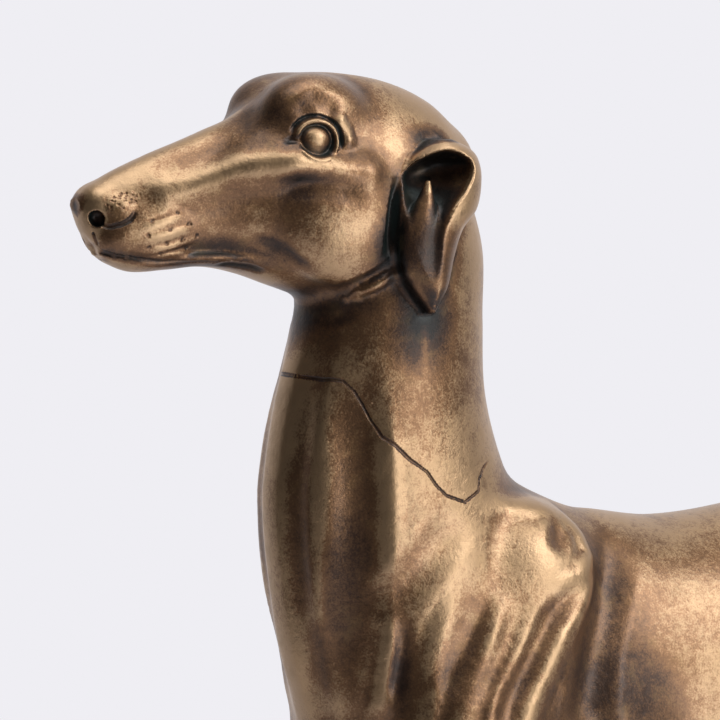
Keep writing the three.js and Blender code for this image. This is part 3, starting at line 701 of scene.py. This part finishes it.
fine_strokes = [
    round_eye(6.6, -50, 185, 1.4, 1.3, 21),  # upper lid
    round_eye(8.1, -30, 165, 1.2, -0.9, 21),  # crease above the lid
    round_eye(6.7, 200, 310, 1.3, 0.8, 13),  # lower lid
    # Inner corner of the eye
    gouge([[-265.5, 20, 546.4], [-262.5, 20, 547.2], [-259, 21, 548.8]], 2.0, -1.3, 0.7, 4),
    # Slit behind the nostril, and the split below it
    gouge([[-328, 7, 522.4], [-326.2, 8, 521], [-323.7, 9, 520.7], [-320.9, 10, 521.3], [-318.3, 11, 523],
           [-316, 11, 525.8]], 1.1, -1.7, 0.25),
    gouge([[-328.4, 4.6, 522], [-326.6, 4.6, 514.4]], 0.9, -0.9),
    # Line of the lips, their corner, the crease over the jaw, and the lips apart in front
    gouge([[-327, 5.5, 513.2], [-317.2, 9, 510.4], [-305.1, 11, 508.4], [-285.2, 13, 508.2],
           [-273, 16, 507.6]], 0.9, -0.9, 0.1, 3),
    gouge([[-285, 9, 506.6], [-279, 10.5, 506.4], [-273, 11, 505.4], [-266.5, 10.5, 503]], 2.6, -1.8, 0.3, 3),
    gouge([[-276, 15, 517], [-269, 17, 514.4], [-263, 18.5, 511.5], [-257.7, 20.5, 507.4],
           [-251.9, 21.4, 503.2]], 3.4, -1.1, 0.4),
    gouge([[-326, 3, 512.4], [-323.8, 5.8, 511.6], [-320.3, 7.7, 510.9], [-316.8, 9, 510.4]], 0.9, -1.0, 0.3),
]
print(len(fine_strokes), "fine strokes about the eye, nose and lips")

# %% Whiskers and the pitted nose
whisker_rows = [  # from and to in x and z, how many whiskers
    [(-315.5, 521.4), (-297.0, 526.8), 2],
    [(-316.0, 517.8), (-293.5, 522.8), 3],
    [(-314.5, 514.4), (-290.5, 518.6), 4],
    [(-312.5, 511.8), (-291.5, 514.0), 2],
]
for (from_x, from_z), (to_x, to_z), whiskers in whisker_rows:
    fine_strokes.append(gouge([[from_x, 10, from_z], [to_x, 12, to_z]], 1.2, -0.2, 0.5, 4))
    fine_strokes.append(gouge([[from_x, 10, from_z - 1.7], [to_x, 12, to_z - 1.7]], 2.2, 0.3, 0.5, 4))
    for i in range(whiskers):
        t = (i + 0.5) / whiskers
        fine_strokes.append(pit(from_x + t * (to_x - from_x), 11, from_z + t * (to_z - from_z) - 0.4))
nose_pits, golden_turn = 22, math.radians(137.5)  # the turn spreads them evenly, as seeds in a sunflower
for i in range(nose_pits):
    out = math.sqrt((i + 0.5) / nose_pits)
    across, up = out * math.cos(i * golden_turn), out * math.sin(i * golden_turn)
    fine_strokes.append(pit(-320 + 6.5 * across, 9, 529.5 + 2.8 * up + 1.5 * across, 0.5, 0.3))
print(len(fine_strokes), "fine strokes with the whiskers and pits")

# %% [markdown]
# The crack
# The casting has cracked round the near side of the neck, where it is long and thin. The crack is a hairline
# that gapes a little over the front of the neck and halfway down its side. It could be painted, but a cut
# throws a true shadow. It is cut on the near side alone.

# %% Course of the crack
crack_course = [  # from the front of the neck back to the nape, near the skin
    [-250.2, -12.4, 466.8], [-251.6, 3.3, 467.1], [-248.9, 16.1, 467.3], [-240.9, 19.5, 466.1],
    [-237.5, 21.7, 462.4], [-235.4, 23.5, 457.9], [-233.5, 25.7, 452.8], [-230.8, 28.8, 447.1],
    [-227.4, 31.7, 444.1], [-222.2, 33.1, 439.1], [-216.0, 34.1, 434.7], [-212.8, 34.8, 430.0],
    [-208.5, 35.1, 426.0], [-201.3, 31.9, 422.7], [-198.0, 30.6, 424.1], [-194.1, 29.6, 425.9],
    [-192.7, 29.9, 430.0], [-189.4, 28.0, 433.9], [-185.0, 24.9, 436.1],
]
steps = 4
crack = laid_on_skin(crack_course, steps)
crack_cuts = [  # the whole hairline, then where it gapes
    stroke(crack, 0.5, -1.6, (1, 1, 1), 0.12),
    stroke(crack[: 4 * steps], 0.8, -1.2, (1, 1, 1), 0.3),
    stroke(crack[6 * steps : 10 * steps], 0.8, -1.2, (1, 1, 1), 0.4),
]


def hound(x, y, z):
    """The finished hound's field, with its fine tooling and the crack in its near side."""
    field = add_strokes(smooth_hound(x, y, z), fine_strokes, x, np.abs(y), z)
    return add_strokes(field, crack_cuts, x, -y, z)


crack_length = np.linalg.norm(np.diff(crack, axis=0), axis=1).sum()
print("crack", round(float(crack_length)), "mm long")

# %% [markdown]
# From field to mesh
# A net of quads is drawn over the cells of a grid that the skin passes through, with finer cells about the
# head and shoulders. Long edges are then split until each region has the mesh size that its detail needs,
# and every point is drawn onto the skin. This was chosen over a voxel remesh because its detail is spent
# where it shows.

# %% Planes of a grid


def planes(start, zones):
    """Grid planes up to the end of each zone (end, spacing) in turn."""
    made = [start]
    for end, spacing in zones:
        while made[-1] < end:
            made.append(made[-1] + spacing)
    return np.array(made, float)


start_grid = [
    planes(-342, [(-168, 2.6), (-120, 4.0), (262, 6.0)]),
    planes(-66, [(66, 3.0)]),
    planes(-9, [(330, 6.0), (478, 4.0), (584, 2.6)]),
]
print("grid:", [len(row) for row in start_grid], "planes")

# %% Net over the grid


def net_over(field, grid):
    """One point in each cell that the skin crosses, and one quad over each crossed edge."""
    gx, gy, gz = np.meshgrid(*grid, indexing="ij")
    shape = gx.shape
    values = field(gx.ravel(), gy.ravel(), gz.ravel()).reshape(shape)
    inside = values < 0
    total = np.zeros([n - 1 for n in shape] + [3])
    count = np.zeros([n - 1 for n in shape])
    crossings = []
    for axis in range(3):
        lower = [slice(None)] * 3
        upper = [slice(None)] * 3
        lower[axis], upper[axis] = slice(0, -1), slice(1, None)
        va, vb = values[tuple(lower)], values[tuple(upper)]
        hit = np.argwhere((va < 0) != (vb < 0))
        a, b = va[tuple(hit.T)], vb[tuple(hit.T)]
        place = np.stack([grid[k][hit[:, k]] for k in range(3)], 1)
        step = grid[axis][hit[:, axis] + 1] - grid[axis][hit[:, axis]]
        place[:, axis] += step * a / (a - b)
        u, v = (axis + 1) % 3, (axis + 2) % 3
        around = []
        for du, dv in ((1, 1), (0, 1), (0, 0), (1, 0)):
            cell = hit.copy()
            cell[:, u] -= du
            cell[:, v] -= dv
            np.add.at(total, tuple(cell.T), place)
            np.add.at(count, tuple(cell.T), 1)
            around.append(np.ravel_multi_index(cell.T, count.shape))
        quads = np.stack(around, 1)
        crossings.append(np.where((a < 0)[:, None], quads, quads[:, ::-1]))
    used = np.flatnonzero(count.ravel())
    number = np.full(count.size, -1)
    number[used] = np.arange(used.size)
    points = total.reshape(-1, 3)[used] / count.ravel()[used][:, None]
    return points, number[np.concatenate(crossings)]


points, quads = net_over(hound, start_grid)
print("net:", len(points), "points,", len(quads), "quads")

# %% Draw points onto the skin
points = draw_onto(hound, points, 3, 2.0)
print("on the skin to", round(float(np.abs(hound(*points.T)).max()), 3), "mm")

# %% Mesh size wanted at each place
detail_spots = [  # places with fine carving: centre, radius, edge length
    [[-254, 24, 549], 13.5, 0.6],  # eye
    [[-322, 7, 524], 10, 0.6],  # nostril and wing of the nose
    [[-326, 6, 522], 15, 0.8],  # nose
    [[-303, 10, 515], 18, 0.95],  # whisker pad and lips
    [[-275, 15, 506], 12, 1.2],  # corner of the lips
    [[-210, 34, 518], 31, 1.15],  # ear
    [[-202, 34, 541], 13, 0.75],  # top of its rim
]
crack_edges = [(4.0, 1.1), (1.4, 0.45)]  # distance from the crack, edge length
belly_edge, back_edge, limb_edge, shoulder_edge, head_edge, paw_edge = 5.5, 3.0, 3.2, 2.6, 2.0, 2.0


def wanted_size(x, y, z):
    """How long an edge may be at each place, in millimetres."""
    w = np.abs(y)
    size = np.where(z < 335, belly_edge, back_edge)
    size = np.where((z < 215) | (x > 192), limb_edge, size)
    size = np.where((x < -105) & (z > 290), np.minimum(size, shoulder_edge), size)
    size = np.where((z > 470) & (x < -165), head_edge, size)
    size = np.where(z < 28, paw_edge, size)
    for centre, radius, edge in detail_spots:
        away = np.sqrt((x - centre[0]) ** 2 + (w - centre[1]) ** 2 + (z - centre[2]) ** 2)
        size = np.where(away < radius, np.minimum(size, edge), size)
    from_crack = distance_to(crack, x, -y, z)
    for reach, edge in crack_edges:
        size = np.where(from_crack < reach, np.minimum(size, edge), size)
    return size


print(len(detail_spots), "places with a finer mesh, and the crack")

# %% Split long edges
SLACK = 1.35  # an edge may be this many times as long as wanted
MOST_ROUNDS, FEW_EDGES = 5, 200  # the splitting stops after so many rounds, or when so few edges are left


def split_long_edges(bm):
    """Splits every edge that is longer than wanted at its middle, and makes all faces triangles again."""
    bm.verts.ensure_lookup_table()
    bm.edges.ensure_lookup_table()
    places = np.array([v.co for v in bm.verts])
    ends = np.array([[v.index for v in e.verts] for e in bm.edges])
    middle = (places[ends[:, 0]] + places[ends[:, 1]]) / 2
    length = np.linalg.norm(places[ends[:, 0]] - places[ends[:, 1]], axis=1)
    edges = [bm.edges[i] for i in np.flatnonzero(length > SLACK * wanted_size(*middle.T))]
    bmesh.ops.subdivide_edges(bm, edges=edges, cuts=1, use_grid_fill=False)
    bmesh.ops.triangulate(bm, faces=[f for f in bm.faces if len(f.verts) > 3], quad_method="SHORT_EDGE")
    return len(edges)


# %% Refine the net
bm = bmesh.new()
net_points = [bm.verts.new(p) for p in points]
bm.verts.index_update()
for quad in quads:
    bm.faces.new([net_points[i] for i in quad])
bmesh.ops.triangulate(bm, faces=bm.faces[:], quad_method="SHORT_EDGE")
bm.verts.index_update()
for round_number in range(MOST_ROUNDS):
    count = split_long_edges(bm)
    bm.verts.index_update()
    places = draw_onto(hound, np.array([v.co for v in bm.verts]), 2, 1.0)
    for v, place in zip(bm.verts, places):
        v.co = place
    print("round", round_number, "split", count, "edges, now", len(bm.faces), "triangles")
    if count < FEW_EDGES:
        break

# %% [markdown]
# How hollow each place is
# Dark wax stays where a rag can't reach. A point is looked at from a little way out along its normal: where
# the skin is nearer than that distance, the place is in a hollow. Small, middling and wide distances find
# pits, folds and the lee of the great forms. The finish reads them from mesh attributes, which export with
# the mesh.

# %% Room and ridges
near_reach, far_reach, wide_reach = 2.5, 9.0, 24.0
places = np.array([v.co for v in bm.verts])
_, slope = slope_at(hound, places)
normals = slope / np.maximum(np.linalg.norm(slope, axis=1, keepdims=True), 1e-6)


def openness(distance):
    """The room above each place: 1 over flat skin, less in a hollow, more over a ridge."""
    return hound(*(places + normals * distance).T) / distance


near_room, far_room, wide_room = openness(near_reach), openness(far_reach), openness(wide_reach)
ridge = 1 + hound(*(places - normals * near_reach).T) / near_reach  # above 0 on a ridge, which shines
for name, room in (("near", near_room), ("far", far_room)):
    print(name, "room percentiles", np.round(np.percentile(room, [1, 10, 50, 90, 99]), 3))

# %% Wax, painted shade and painted light
# The forehead, the neck below the ear, the furrow of the throat and the lee behind the shoulder are darkened
# as painted shade, and the outside of the ear as wax and painted shade; the jaw, the cheek and lips and the
# shoulder blade are lightened as painted light.
wax_and_painted_light_spots = [  # darker paint for wax and painted shade, or lighter paint for painted light where the amount is below 0: centre, radius, amount
    [[-217, 37, 511], 13, 0.5],  # outside of the ear
    [[-258, 14, 566], 13, 0.25],  # forehead
    [[-214, 30, 468], 24, 0.22],  # neck below the ear
    [[-240, 24, 405], 24, 0.16],  # furrow of the throat
    [[-138, 44, 350], 26, 0.28],  # behind the shoulder
    [[-252, 20, 500], 16, -0.25],  # jaw
    [[-296, 12, 520], 18, -0.1],  # cheek and lips
    [[-175, 34, 398], 20, -0.15],  # shoulder blade
]


def wax_and_painted_light_at(places):
    """How much the paint is darkened, for wax and painted shade, or lightened, for painted light, at each
    place, the same on both sides.
    """
    x, y, z = places.T
    thick = np.zeros(len(places))
    for centre, radius, amount in wax_and_painted_light_spots:
        away = (x - centre[0]) ** 2 + (np.abs(y) - centre[1]) ** 2 + (z - centre[2]) ** 2
        thick += amount * np.exp(-away / radius**2)
    return thick


wax_and_painted_light = wax_and_painted_light_at(places)
print("wax from", round(float(wax_and_painted_light.min()), 2), "to", round(float(wax_and_painted_light.max()), 2))

# %% Meshes and objects


def smooth_mesh(name, bm):
    """A mesh with the faces of bm, shaded smooth."""
    made = bpy.data.meshes.new(name)
    bm.to_mesh(made)
    bm.free()
    made.polygons.foreach_set("use_smooth", [True] * len(made.polygons))
    return made


def keep_measure(mesh, name, values):
    """Keeps a number for each point of a mesh, under a name that the finish reads."""
    kept = mesh.attributes.new(name, "FLOAT", "POINT")
    kept.data.foreach_set("value", values.astype(np.float32))


def add_object(name, data):
    """A new object of the scene that holds data: a mesh, a light or a camera."""
    made = bpy.data.objects.new(name, data)
    bpy.context.scene.collection.objects.link(made)
    return made


# %% The hound's mesh
mesh = smooth_mesh("greyhound_cast_resin", bm)
carving = np.array([v.co for v in mesh.vertices])
world = carving * MM
world[:, 2] += lift * MM
mesh.vertices.foreach_set("co", world.ravel())
# The wax measure also holds painted shade and painted light, which the paint shows as colour.
measures = {"near_room": near_room, "far_room": far_room, "wide_room": wide_room, "ridge": ridge, "wax_and_painted_light": wax_and_painted_light}
for name, values in measures.items():
    keep_measure(mesh, name, values)
mesh.update()
mesh.normals_split_custom_set_from_vertices(normals)
greyhound = add_object("greyhound_cast_resin", mesh)
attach(greyhound, "root")
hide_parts("greyhound_casting")
print("hound:", len(mesh.vertices), "points,", len(mesh.polygons), "triangles")

# %% [markdown]
# Finish tools
# A finish is a small network of nodes. It could be wired by hand in the shader editor, but a function that
# adds one node and links its inputs keeps the whole recipe on a page. Colours are written as paint is picked
# on a screen, in sRGB hex, and turned into the linear light that the renderer adds up.

# %% Colour and node helpers


def colour(hex_code):
    """An sRGB hex colour as linear RGBA."""
    channels = [int(hex_code[i : i + 2], 16) / 255 for i in (1, 3, 5)]
    linear = [c / 12.92 if c <= 0.04045 else ((c + 0.055) / 1.055) ** 2.4 for c in channels]
    return (*linear, 1.0)


def node(tree, kind, settings=None, **inputs):
    """Adds a node: settings are its own properties, inputs are values or the sockets that feed it."""
    made = tree.nodes.new(kind)
    for key, value in (settings or {}).items():
        setattr(made, key, value)
    for key, value in inputs.items():
        numbered = key[0] == "i" and key[1:].isdigit()  # i0, i1 and so on, for inputs that share a name
        socket = made.inputs[int(key[1:]) if numbered else key.replace("_", " ")]
        if isinstance(value, bpy.types.NodeSocket):
            tree.links.new(value, socket)
        else:
            socket.default_value = value
    return made


studio_white = "#efeef3"
print("the studio's white in linear light:", [round(c, 3) for c in colour(studio_white)])

# %% [markdown]
# Bronze paint over resin
# The resin is sprayed dark brown, dusted with bronze powder in lacquer and glazed with dark wax. Powder is
# many small flakes, so it shines like metal with a broad, soft highlight and a fine grain. Wax and old dirt
# stay in the hollows, browner at first and blue-green black in the deepest, and rubbing bares brighter
# bronze on the ridges. Noise in real sizes was chosen over a painted image, because it has no seams on so
# knotted a form.

# %% Finish sizes and colours
# The powder is far finer than a pixel, so its grain is drawn two pixels wide
grain_size, fleck_size, stain_size, blotch_size = 0.7 * MM, 2.2 * MM, 7 * MM, 20 * MM
bare_bronze, mid_bronze, brown_wax, black_wax = "#be9d78", "#8a6749", "#483326", "#171310"
olive_bronze, patina = "#937b50", "#243433"


def math_node(tree, operation, *values):
    """Arithmetic on one to three values or sockets."""
    inputs = {f"i{k}": value for k, value in enumerate(values)}
    return node(tree, "ShaderNodeMath", {"operation": operation}, **inputs).outputs[0]


def noise(tree, place, size, detail=3.0):
    """Noise about 0, from -0.5 to 0.5, with lumps of a real size."""
    made = node(tree, "ShaderNodeTexNoise", Vector=place, Scale=1 / size, Detail=detail)
    return math_node(tree, "SUBTRACT", made.outputs["Fac"], 0.5)


def ramp(tree, value, stops):
    """A colour for each value, from stops (position, hex colour)."""
    made = node(tree, "ShaderNodeValToRGB", Fac=value)
    elements = made.color_ramp.elements
    while len(elements) < len(stops):
        elements.new(1.0)
    for element, (position, hex_code) in zip(elements, stops):
        element.position = position
        element.color = colour(hex_code)
    return made.outputs[0]


def fade(tree, value, low, high, at_low, at_high):
    """A value that runs from at_low to at_high while another runs from low to high."""
    made = node(tree, "ShaderNodeMapRange", Value=value)
    for socket, number in zip(("From Min", "From Max", "To Min", "To Max"), (low, high, at_low, at_high)):
        made.inputs[socket].default_value = number
    return made.outputs[0]


def mesh_value(tree, name):
    """One of the hound's measures, read from its mesh."""
    return node(tree, "ShaderNodeAttribute", {"attribute_name": name}).outputs["Fac"]


def tint(tree, amount, paint, hex_code):
    """A paint colour mixed towards another by an amount."""
    mixed = node(tree, "ShaderNodeMix", {"data_type": "RGBA"}, i0=amount, i6=paint, i7=colour(hex_code))
    return mixed.outputs[2]


print("grain", round(grain_size / MM, 1), "mm, blotches", round(blotch_size / MM), "mm")

# %% Bronze paint
# How much each pattern frets the edge of the wax
pattern_weights = {"blotch": 0.45, "stain": 0.3, "fleck": 0.3, "grain": 0.45}
ridge_weight = 0.6
# From thick wax to bare bronze; the same steps also give the painted shade and painted light
wax_steps = [(0.1, black_wax), (0.45, brown_wax), (0.8, mid_bronze), (1.0, bare_bronze)]
bump_depth = 0.16 * MM


def bronze_paint(name, worn):
    """Bronze paint with wax in its hollows, and with painted shade and painted light read from the mesh. worn
    is how far the wax is rubbed off.
    To the eye it is a metal that has lost its mirror: bright on the ridges, brown and dull in the hollows."""
    material = bpy.data.materials.new(name)
    material.use_nodes = True
    tree = material.node_tree
    surface = tree.nodes["Principled BSDF"]
    place = node(tree, "ShaderNodeTexCoord").outputs["Object"]
    grain = noise(tree, place, grain_size, 2.0)
    fleck = noise(tree, place, fleck_size, 4.0)
    blotch = noise(tree, place, blotch_size, 5.0)
    stain = noise(tree, place, stain_size, 6.0)
    room = math_node(tree, "MULTIPLY", mesh_value(tree, "near_room"), mesh_value(tree, "far_room"))
    paint_lightness = math_node(tree, "MULTIPLY", room, mesh_value(tree, "wide_room"))
    patterns = {"blotch": blotch, "stain": stain, "fleck": fleck, "grain": grain}
    for kind, weight in pattern_weights.items():
        paint_lightness = math_node(tree, "MULTIPLY_ADD", patterns[kind], weight, paint_lightness)
    paint_lightness = math_node(tree, "MULTIPLY_ADD", mesh_value(tree, "ridge"), ridge_weight, paint_lightness)
    # The wax measure darkens the paint for wax and painted shade, and lightens it as painted light where it
    # is below 0.
    paint_lightness = math_node(tree, "SUBTRACT", paint_lightness, mesh_value(tree, "wax_and_painted_light"))
    paint_lightness = math_node(tree, "ADD", paint_lightness, worn)
    paint = ramp(tree, paint_lightness, wax_steps)
    paint = tint(tree, fade(tree, stain, 0.05, 0.3, 0.0, 0.25), paint, olive_bronze)
    deep = math_node(tree, "MULTIPLY_ADD", blotch, 0.5, room)
    paint = tint(tree, fade(tree, deep, 0.38, 0.1, 0.0, 0.55), paint, patina)
    tree.links.new(paint, surface.inputs["Base Color"])
    metal = fade(tree, paint_lightness, 0.3, 0.8, 0.35, 0.95)
    tree.links.new(metal, surface.inputs["Metallic"])
    rough = math_node(tree, "MULTIPLY_ADD", stain, 0.25, 0.42)
    rough = math_node(tree, "MULTIPLY_ADD", grain, 0.2, rough)
    tree.links.new(rough, surface.inputs["Roughness"])
    lacquer = math_node(tree, "MULTIPLY", metal, 0.4)  # a grey sheen at the edges, gone from the hollows
    tree.links.new(lacquer, surface.inputs["Coat Weight"])
    surface.inputs["Coat Roughness"].default_value = 0.28
    lumps = math_node(tree, "MULTIPLY_ADD", fleck, 2.0, grain)
    bump = node(tree, "ShaderNodeBump", Height=lumps, Strength=0.5, Distance=bump_depth)
    tree.links.new(bump.outputs[0], surface.inputs["Normal"])
    return material


bronze = bronze_paint("bronze_paint_on_resin", 0.0)
mesh.materials.append(bronze)
print(bronze.name, "has", len(bronze.node_tree.nodes), "nodes")

# %% [markdown]
# The plinth
# The plinth is a plain slab that was cast with the same resin: a foot with a soft step up to the top the
# paws are glued to. Rings of points are joined from the underside up, so its rounded edges are true arcs. A
# bevelled box would be quicker, but its step would be square inside. It is painted darker than the hound and
# hardly rubbed.

# %% Profile of the plinth
foot_share = 0.45  # of its height that is foot
step = 6.0 * MM  # how far the foot stands out
corner = 12.0 * MM  # radius of the top's corners
edge = 2.0 * MM  # rounding of the edges
arc_sides = 10
plinth_wear = -0.35  # below 0, so there is more wax on it than on the hound


def edge_arc(inset, height, radius, first, last):
    """Points (inset, height) round a centre, from first to last degrees. 0 points outwards and 90 up."""
    turns = [math.radians(first + (last - first) * i / arc_sides) for i in range(arc_sides + 1)]
    return [(inset - radius * math.cos(t), height + radius * math.sin(t)) for t in turns]


size = plinth_high - plinth_low
foot = size.z * foot_share
plinth_profile = [
    *edge_arc(edge / 2, edge / 2, edge / 2, -90, 0),
    *edge_arc(edge, foot - edge, edge, 0, 90),
    *edge_arc(step - edge, foot + edge, edge, 270, 180),
    *edge_arc(step + edge, size.z - edge, edge, 0, 90),
]
print("plinth's profile:", len(plinth_profile), "points")

# %% Rings of the plinth
bm = bmesh.new()
rings = []
for inset, height in plinth_profile:
    radius = corner + step - inset
    ring = []
    for quarter in range(4):
        sign_x, sign_y = (1, -1, -1, 1)[quarter], (1, 1, -1, -1)[quarter]
        for i in range(arc_sides + 1):
            turn = math.pi / 2 * (quarter + i / arc_sides)
            x = sign_x * (size.x / 2 - inset - radius) + radius * math.cos(turn)
            y = sign_y * (size.y / 2 - inset - radius) + radius * math.sin(turn)
            ring.append(bm.verts.new((x, y, plinth_low.z + height)))
    rings.append(ring)
print(len(rings), "rings of", len(rings[0]), "points")

# %% Plinth
for low_ring, high_ring in zip(rings, rings[1:]):
    for i in range(len(low_ring)):
        j = (i + 1) % len(low_ring)
        bm.faces.new((low_ring[i], low_ring[j], high_ring[j], high_ring[i]))
bm.faces.new(rings[0][::-1])
bm.faces.new(rings[-1])
bmesh.ops.remove_doubles(bm, verts=bm.verts[:], dist=0.01 * MM)
plinth_mesh = smooth_mesh("plinth_resin", bm)
plinth_mesh.set_sharp_from_angle(angle=math.radians(35))
for name in ("near_room", "far_room", "wide_room"):  # the slab is open all round, so it has no hollows
    keep_measure(plinth_mesh, name, np.ones(len(plinth_mesh.vertices)))
plinth_mesh.materials.append(bronze_paint("dark_bronze_paint_on_plinth", plinth_wear))
plinth = add_object("plinth_resin", plinth_mesh)
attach(plinth, "root")
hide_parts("plinth")
print("plinth:", len(plinth_mesh.polygons), "faces")

# %% [markdown]
# The studio
# The photograph was taken in a white studio: a bright, even backdrop behind the statue, a large soft box on
# the camera's right and above, and a dark room behind the camera, which is what the shadow side of the
# bronze mirrors. A metal shows its surroundings more than its own colour, so the surroundings are built
# first. The backdrop is the world itself, because a real wall would stand in the way of the other views.

# %% Floor
floor_half = 1.1
floor_mesh = bpy.data.meshes.new("studio_floor")
corners = [(x * floor_half, y * floor_half, 0) for x, y in ((-1, -1), (1, -1), (1, 1), (-1, 1))]
floor_mesh.from_pydata(corners, [], [(0, 1, 2, 3)])
floor = add_object("studio_floor", floor_mesh)
backdrop = colour(studio_white)
floor_material = bpy.data.materials.new("matt_white_paper")
floor_material.use_nodes = True
paper = floor_material.node_tree.nodes["Principled BSDF"]
paper.inputs["Base Color"].default_value = backdrop
paper.inputs["Roughness"].default_value = 0.9
floor_mesh.materials.append(floor_material)
print("floor", 2 * floor_half, "m across")

# %% Backdrop and room
studio = bpy.data.worlds.new("white_studio")
bpy.context.scene.world = studio
studio.use_nodes = True
tree = studio.node_tree
tree.nodes.clear()
direction = node(tree, "ShaderNodeTexCoord")
behind = Vector((0.5, 0.86, 0.1)).normalized()  # from the statue towards the backdrop
dark_room, bright_wall = 0.06, 0.9  # light that comes from the room and from the backdrop
wall_edge = 0.85  # cosine of the angle from behind at which the backdrop is fully bright
turned = {"operation": "DOT_PRODUCT"}
facing = node(tree, "ShaderNodeVectorMath", turned, i0=direction.outputs["Generated"], i1=behind)
room = node(tree, "ShaderNodeMapRange", {"interpolation_type": "SMOOTHSTEP"}, Value=facing.outputs["Value"])
room.inputs["From Max"].default_value = wall_edge
room.inputs["To Min"].default_value = dark_room
room.inputs["To Max"].default_value = bright_wall
lit = node(tree, "ShaderNodeBackground", Color=backdrop, Strength=room.outputs[0])
seen = node(tree, "ShaderNodeBackground", Color=backdrop, Strength=1.0)
rays = node(tree, "ShaderNodeLightPath")
to_camera = rays.outputs["Is Camera Ray"]
both = node(tree, "ShaderNodeMixShader", i0=to_camera, i1=lit.outputs[0], i2=seen.outputs[0])
node(tree, "ShaderNodeOutputWorld", Surface=both.outputs[0])
bpy.context.scene.view_settings.view_transform = "Standard"
print("backdrop", bright_wall, "bright, room", dark_room)


# %% Soft boxes
def soft_box(name, place, aim, width, height, power):
    """A soft box at a place, turned to aim. The camera doesn't see it."""
    data = bpy.data.lights.new(name, "AREA")
    data.shape = "RECTANGLE"
    data.size, data.size_y = width, height
    data.energy = power
    light = add_object(name, data)
    light.location = place
    light.rotation_euler = (Vector(aim) - Vector(place)).to_track_quat("-Z", "Y").to_euler()
    light.visible_camera = False
    return light


chest = (-0.2, 0, 0.45)  # what the lights are turned to
soft_box("soft_box_right", (0.8, -1.25, 1.4), chest, 1.1, 1.0, 16)
soft_box("soft_box_above", (-0.15, -0.25, 1.85), chest, 1.2, 1.0, 10)
soft_box("low_reflector", (0.35, -1.3, 0.35), chest, 0.9, 0.5, 5.5)

# %% [markdown]
# The camera
# The photograph looks at the hound from a little above, 30 degrees round from its side towards its face.
# A long lens keeps the muzzle from looking too large. The lens follows from how far off the camera stands and
# how wide a strip it sees, so either can be changed without the other.

# %% Camera
azimuth, elevation = math.radians(-30), math.radians(5)
camera_distance = 1.3
width_seen = 0.2527  # across the frame at the camera's target
sensor_width = 36
target = Vector((-0.22296, 0, 0.49644))
towards_camera = Vector((
    math.sin(azimuth) * math.cos(elevation),
    -math.cos(azimuth) * math.cos(elevation),
    math.sin(elevation),
))
camera_data = bpy.data.cameras.new("camera")
camera_data.sensor_width = sensor_width
camera_data.lens = sensor_width * camera_distance / width_seen
camera = add_object("camera", camera_data)
camera.location = target + towards_camera * camera_distance
camera.rotation_euler = (-towards_camera).to_track_quat("-Z", "Y").to_euler()
bpy.context.scene.camera = camera
print("camera", camera_distance, "m away, lens", round(camera_data.lens), "mm")
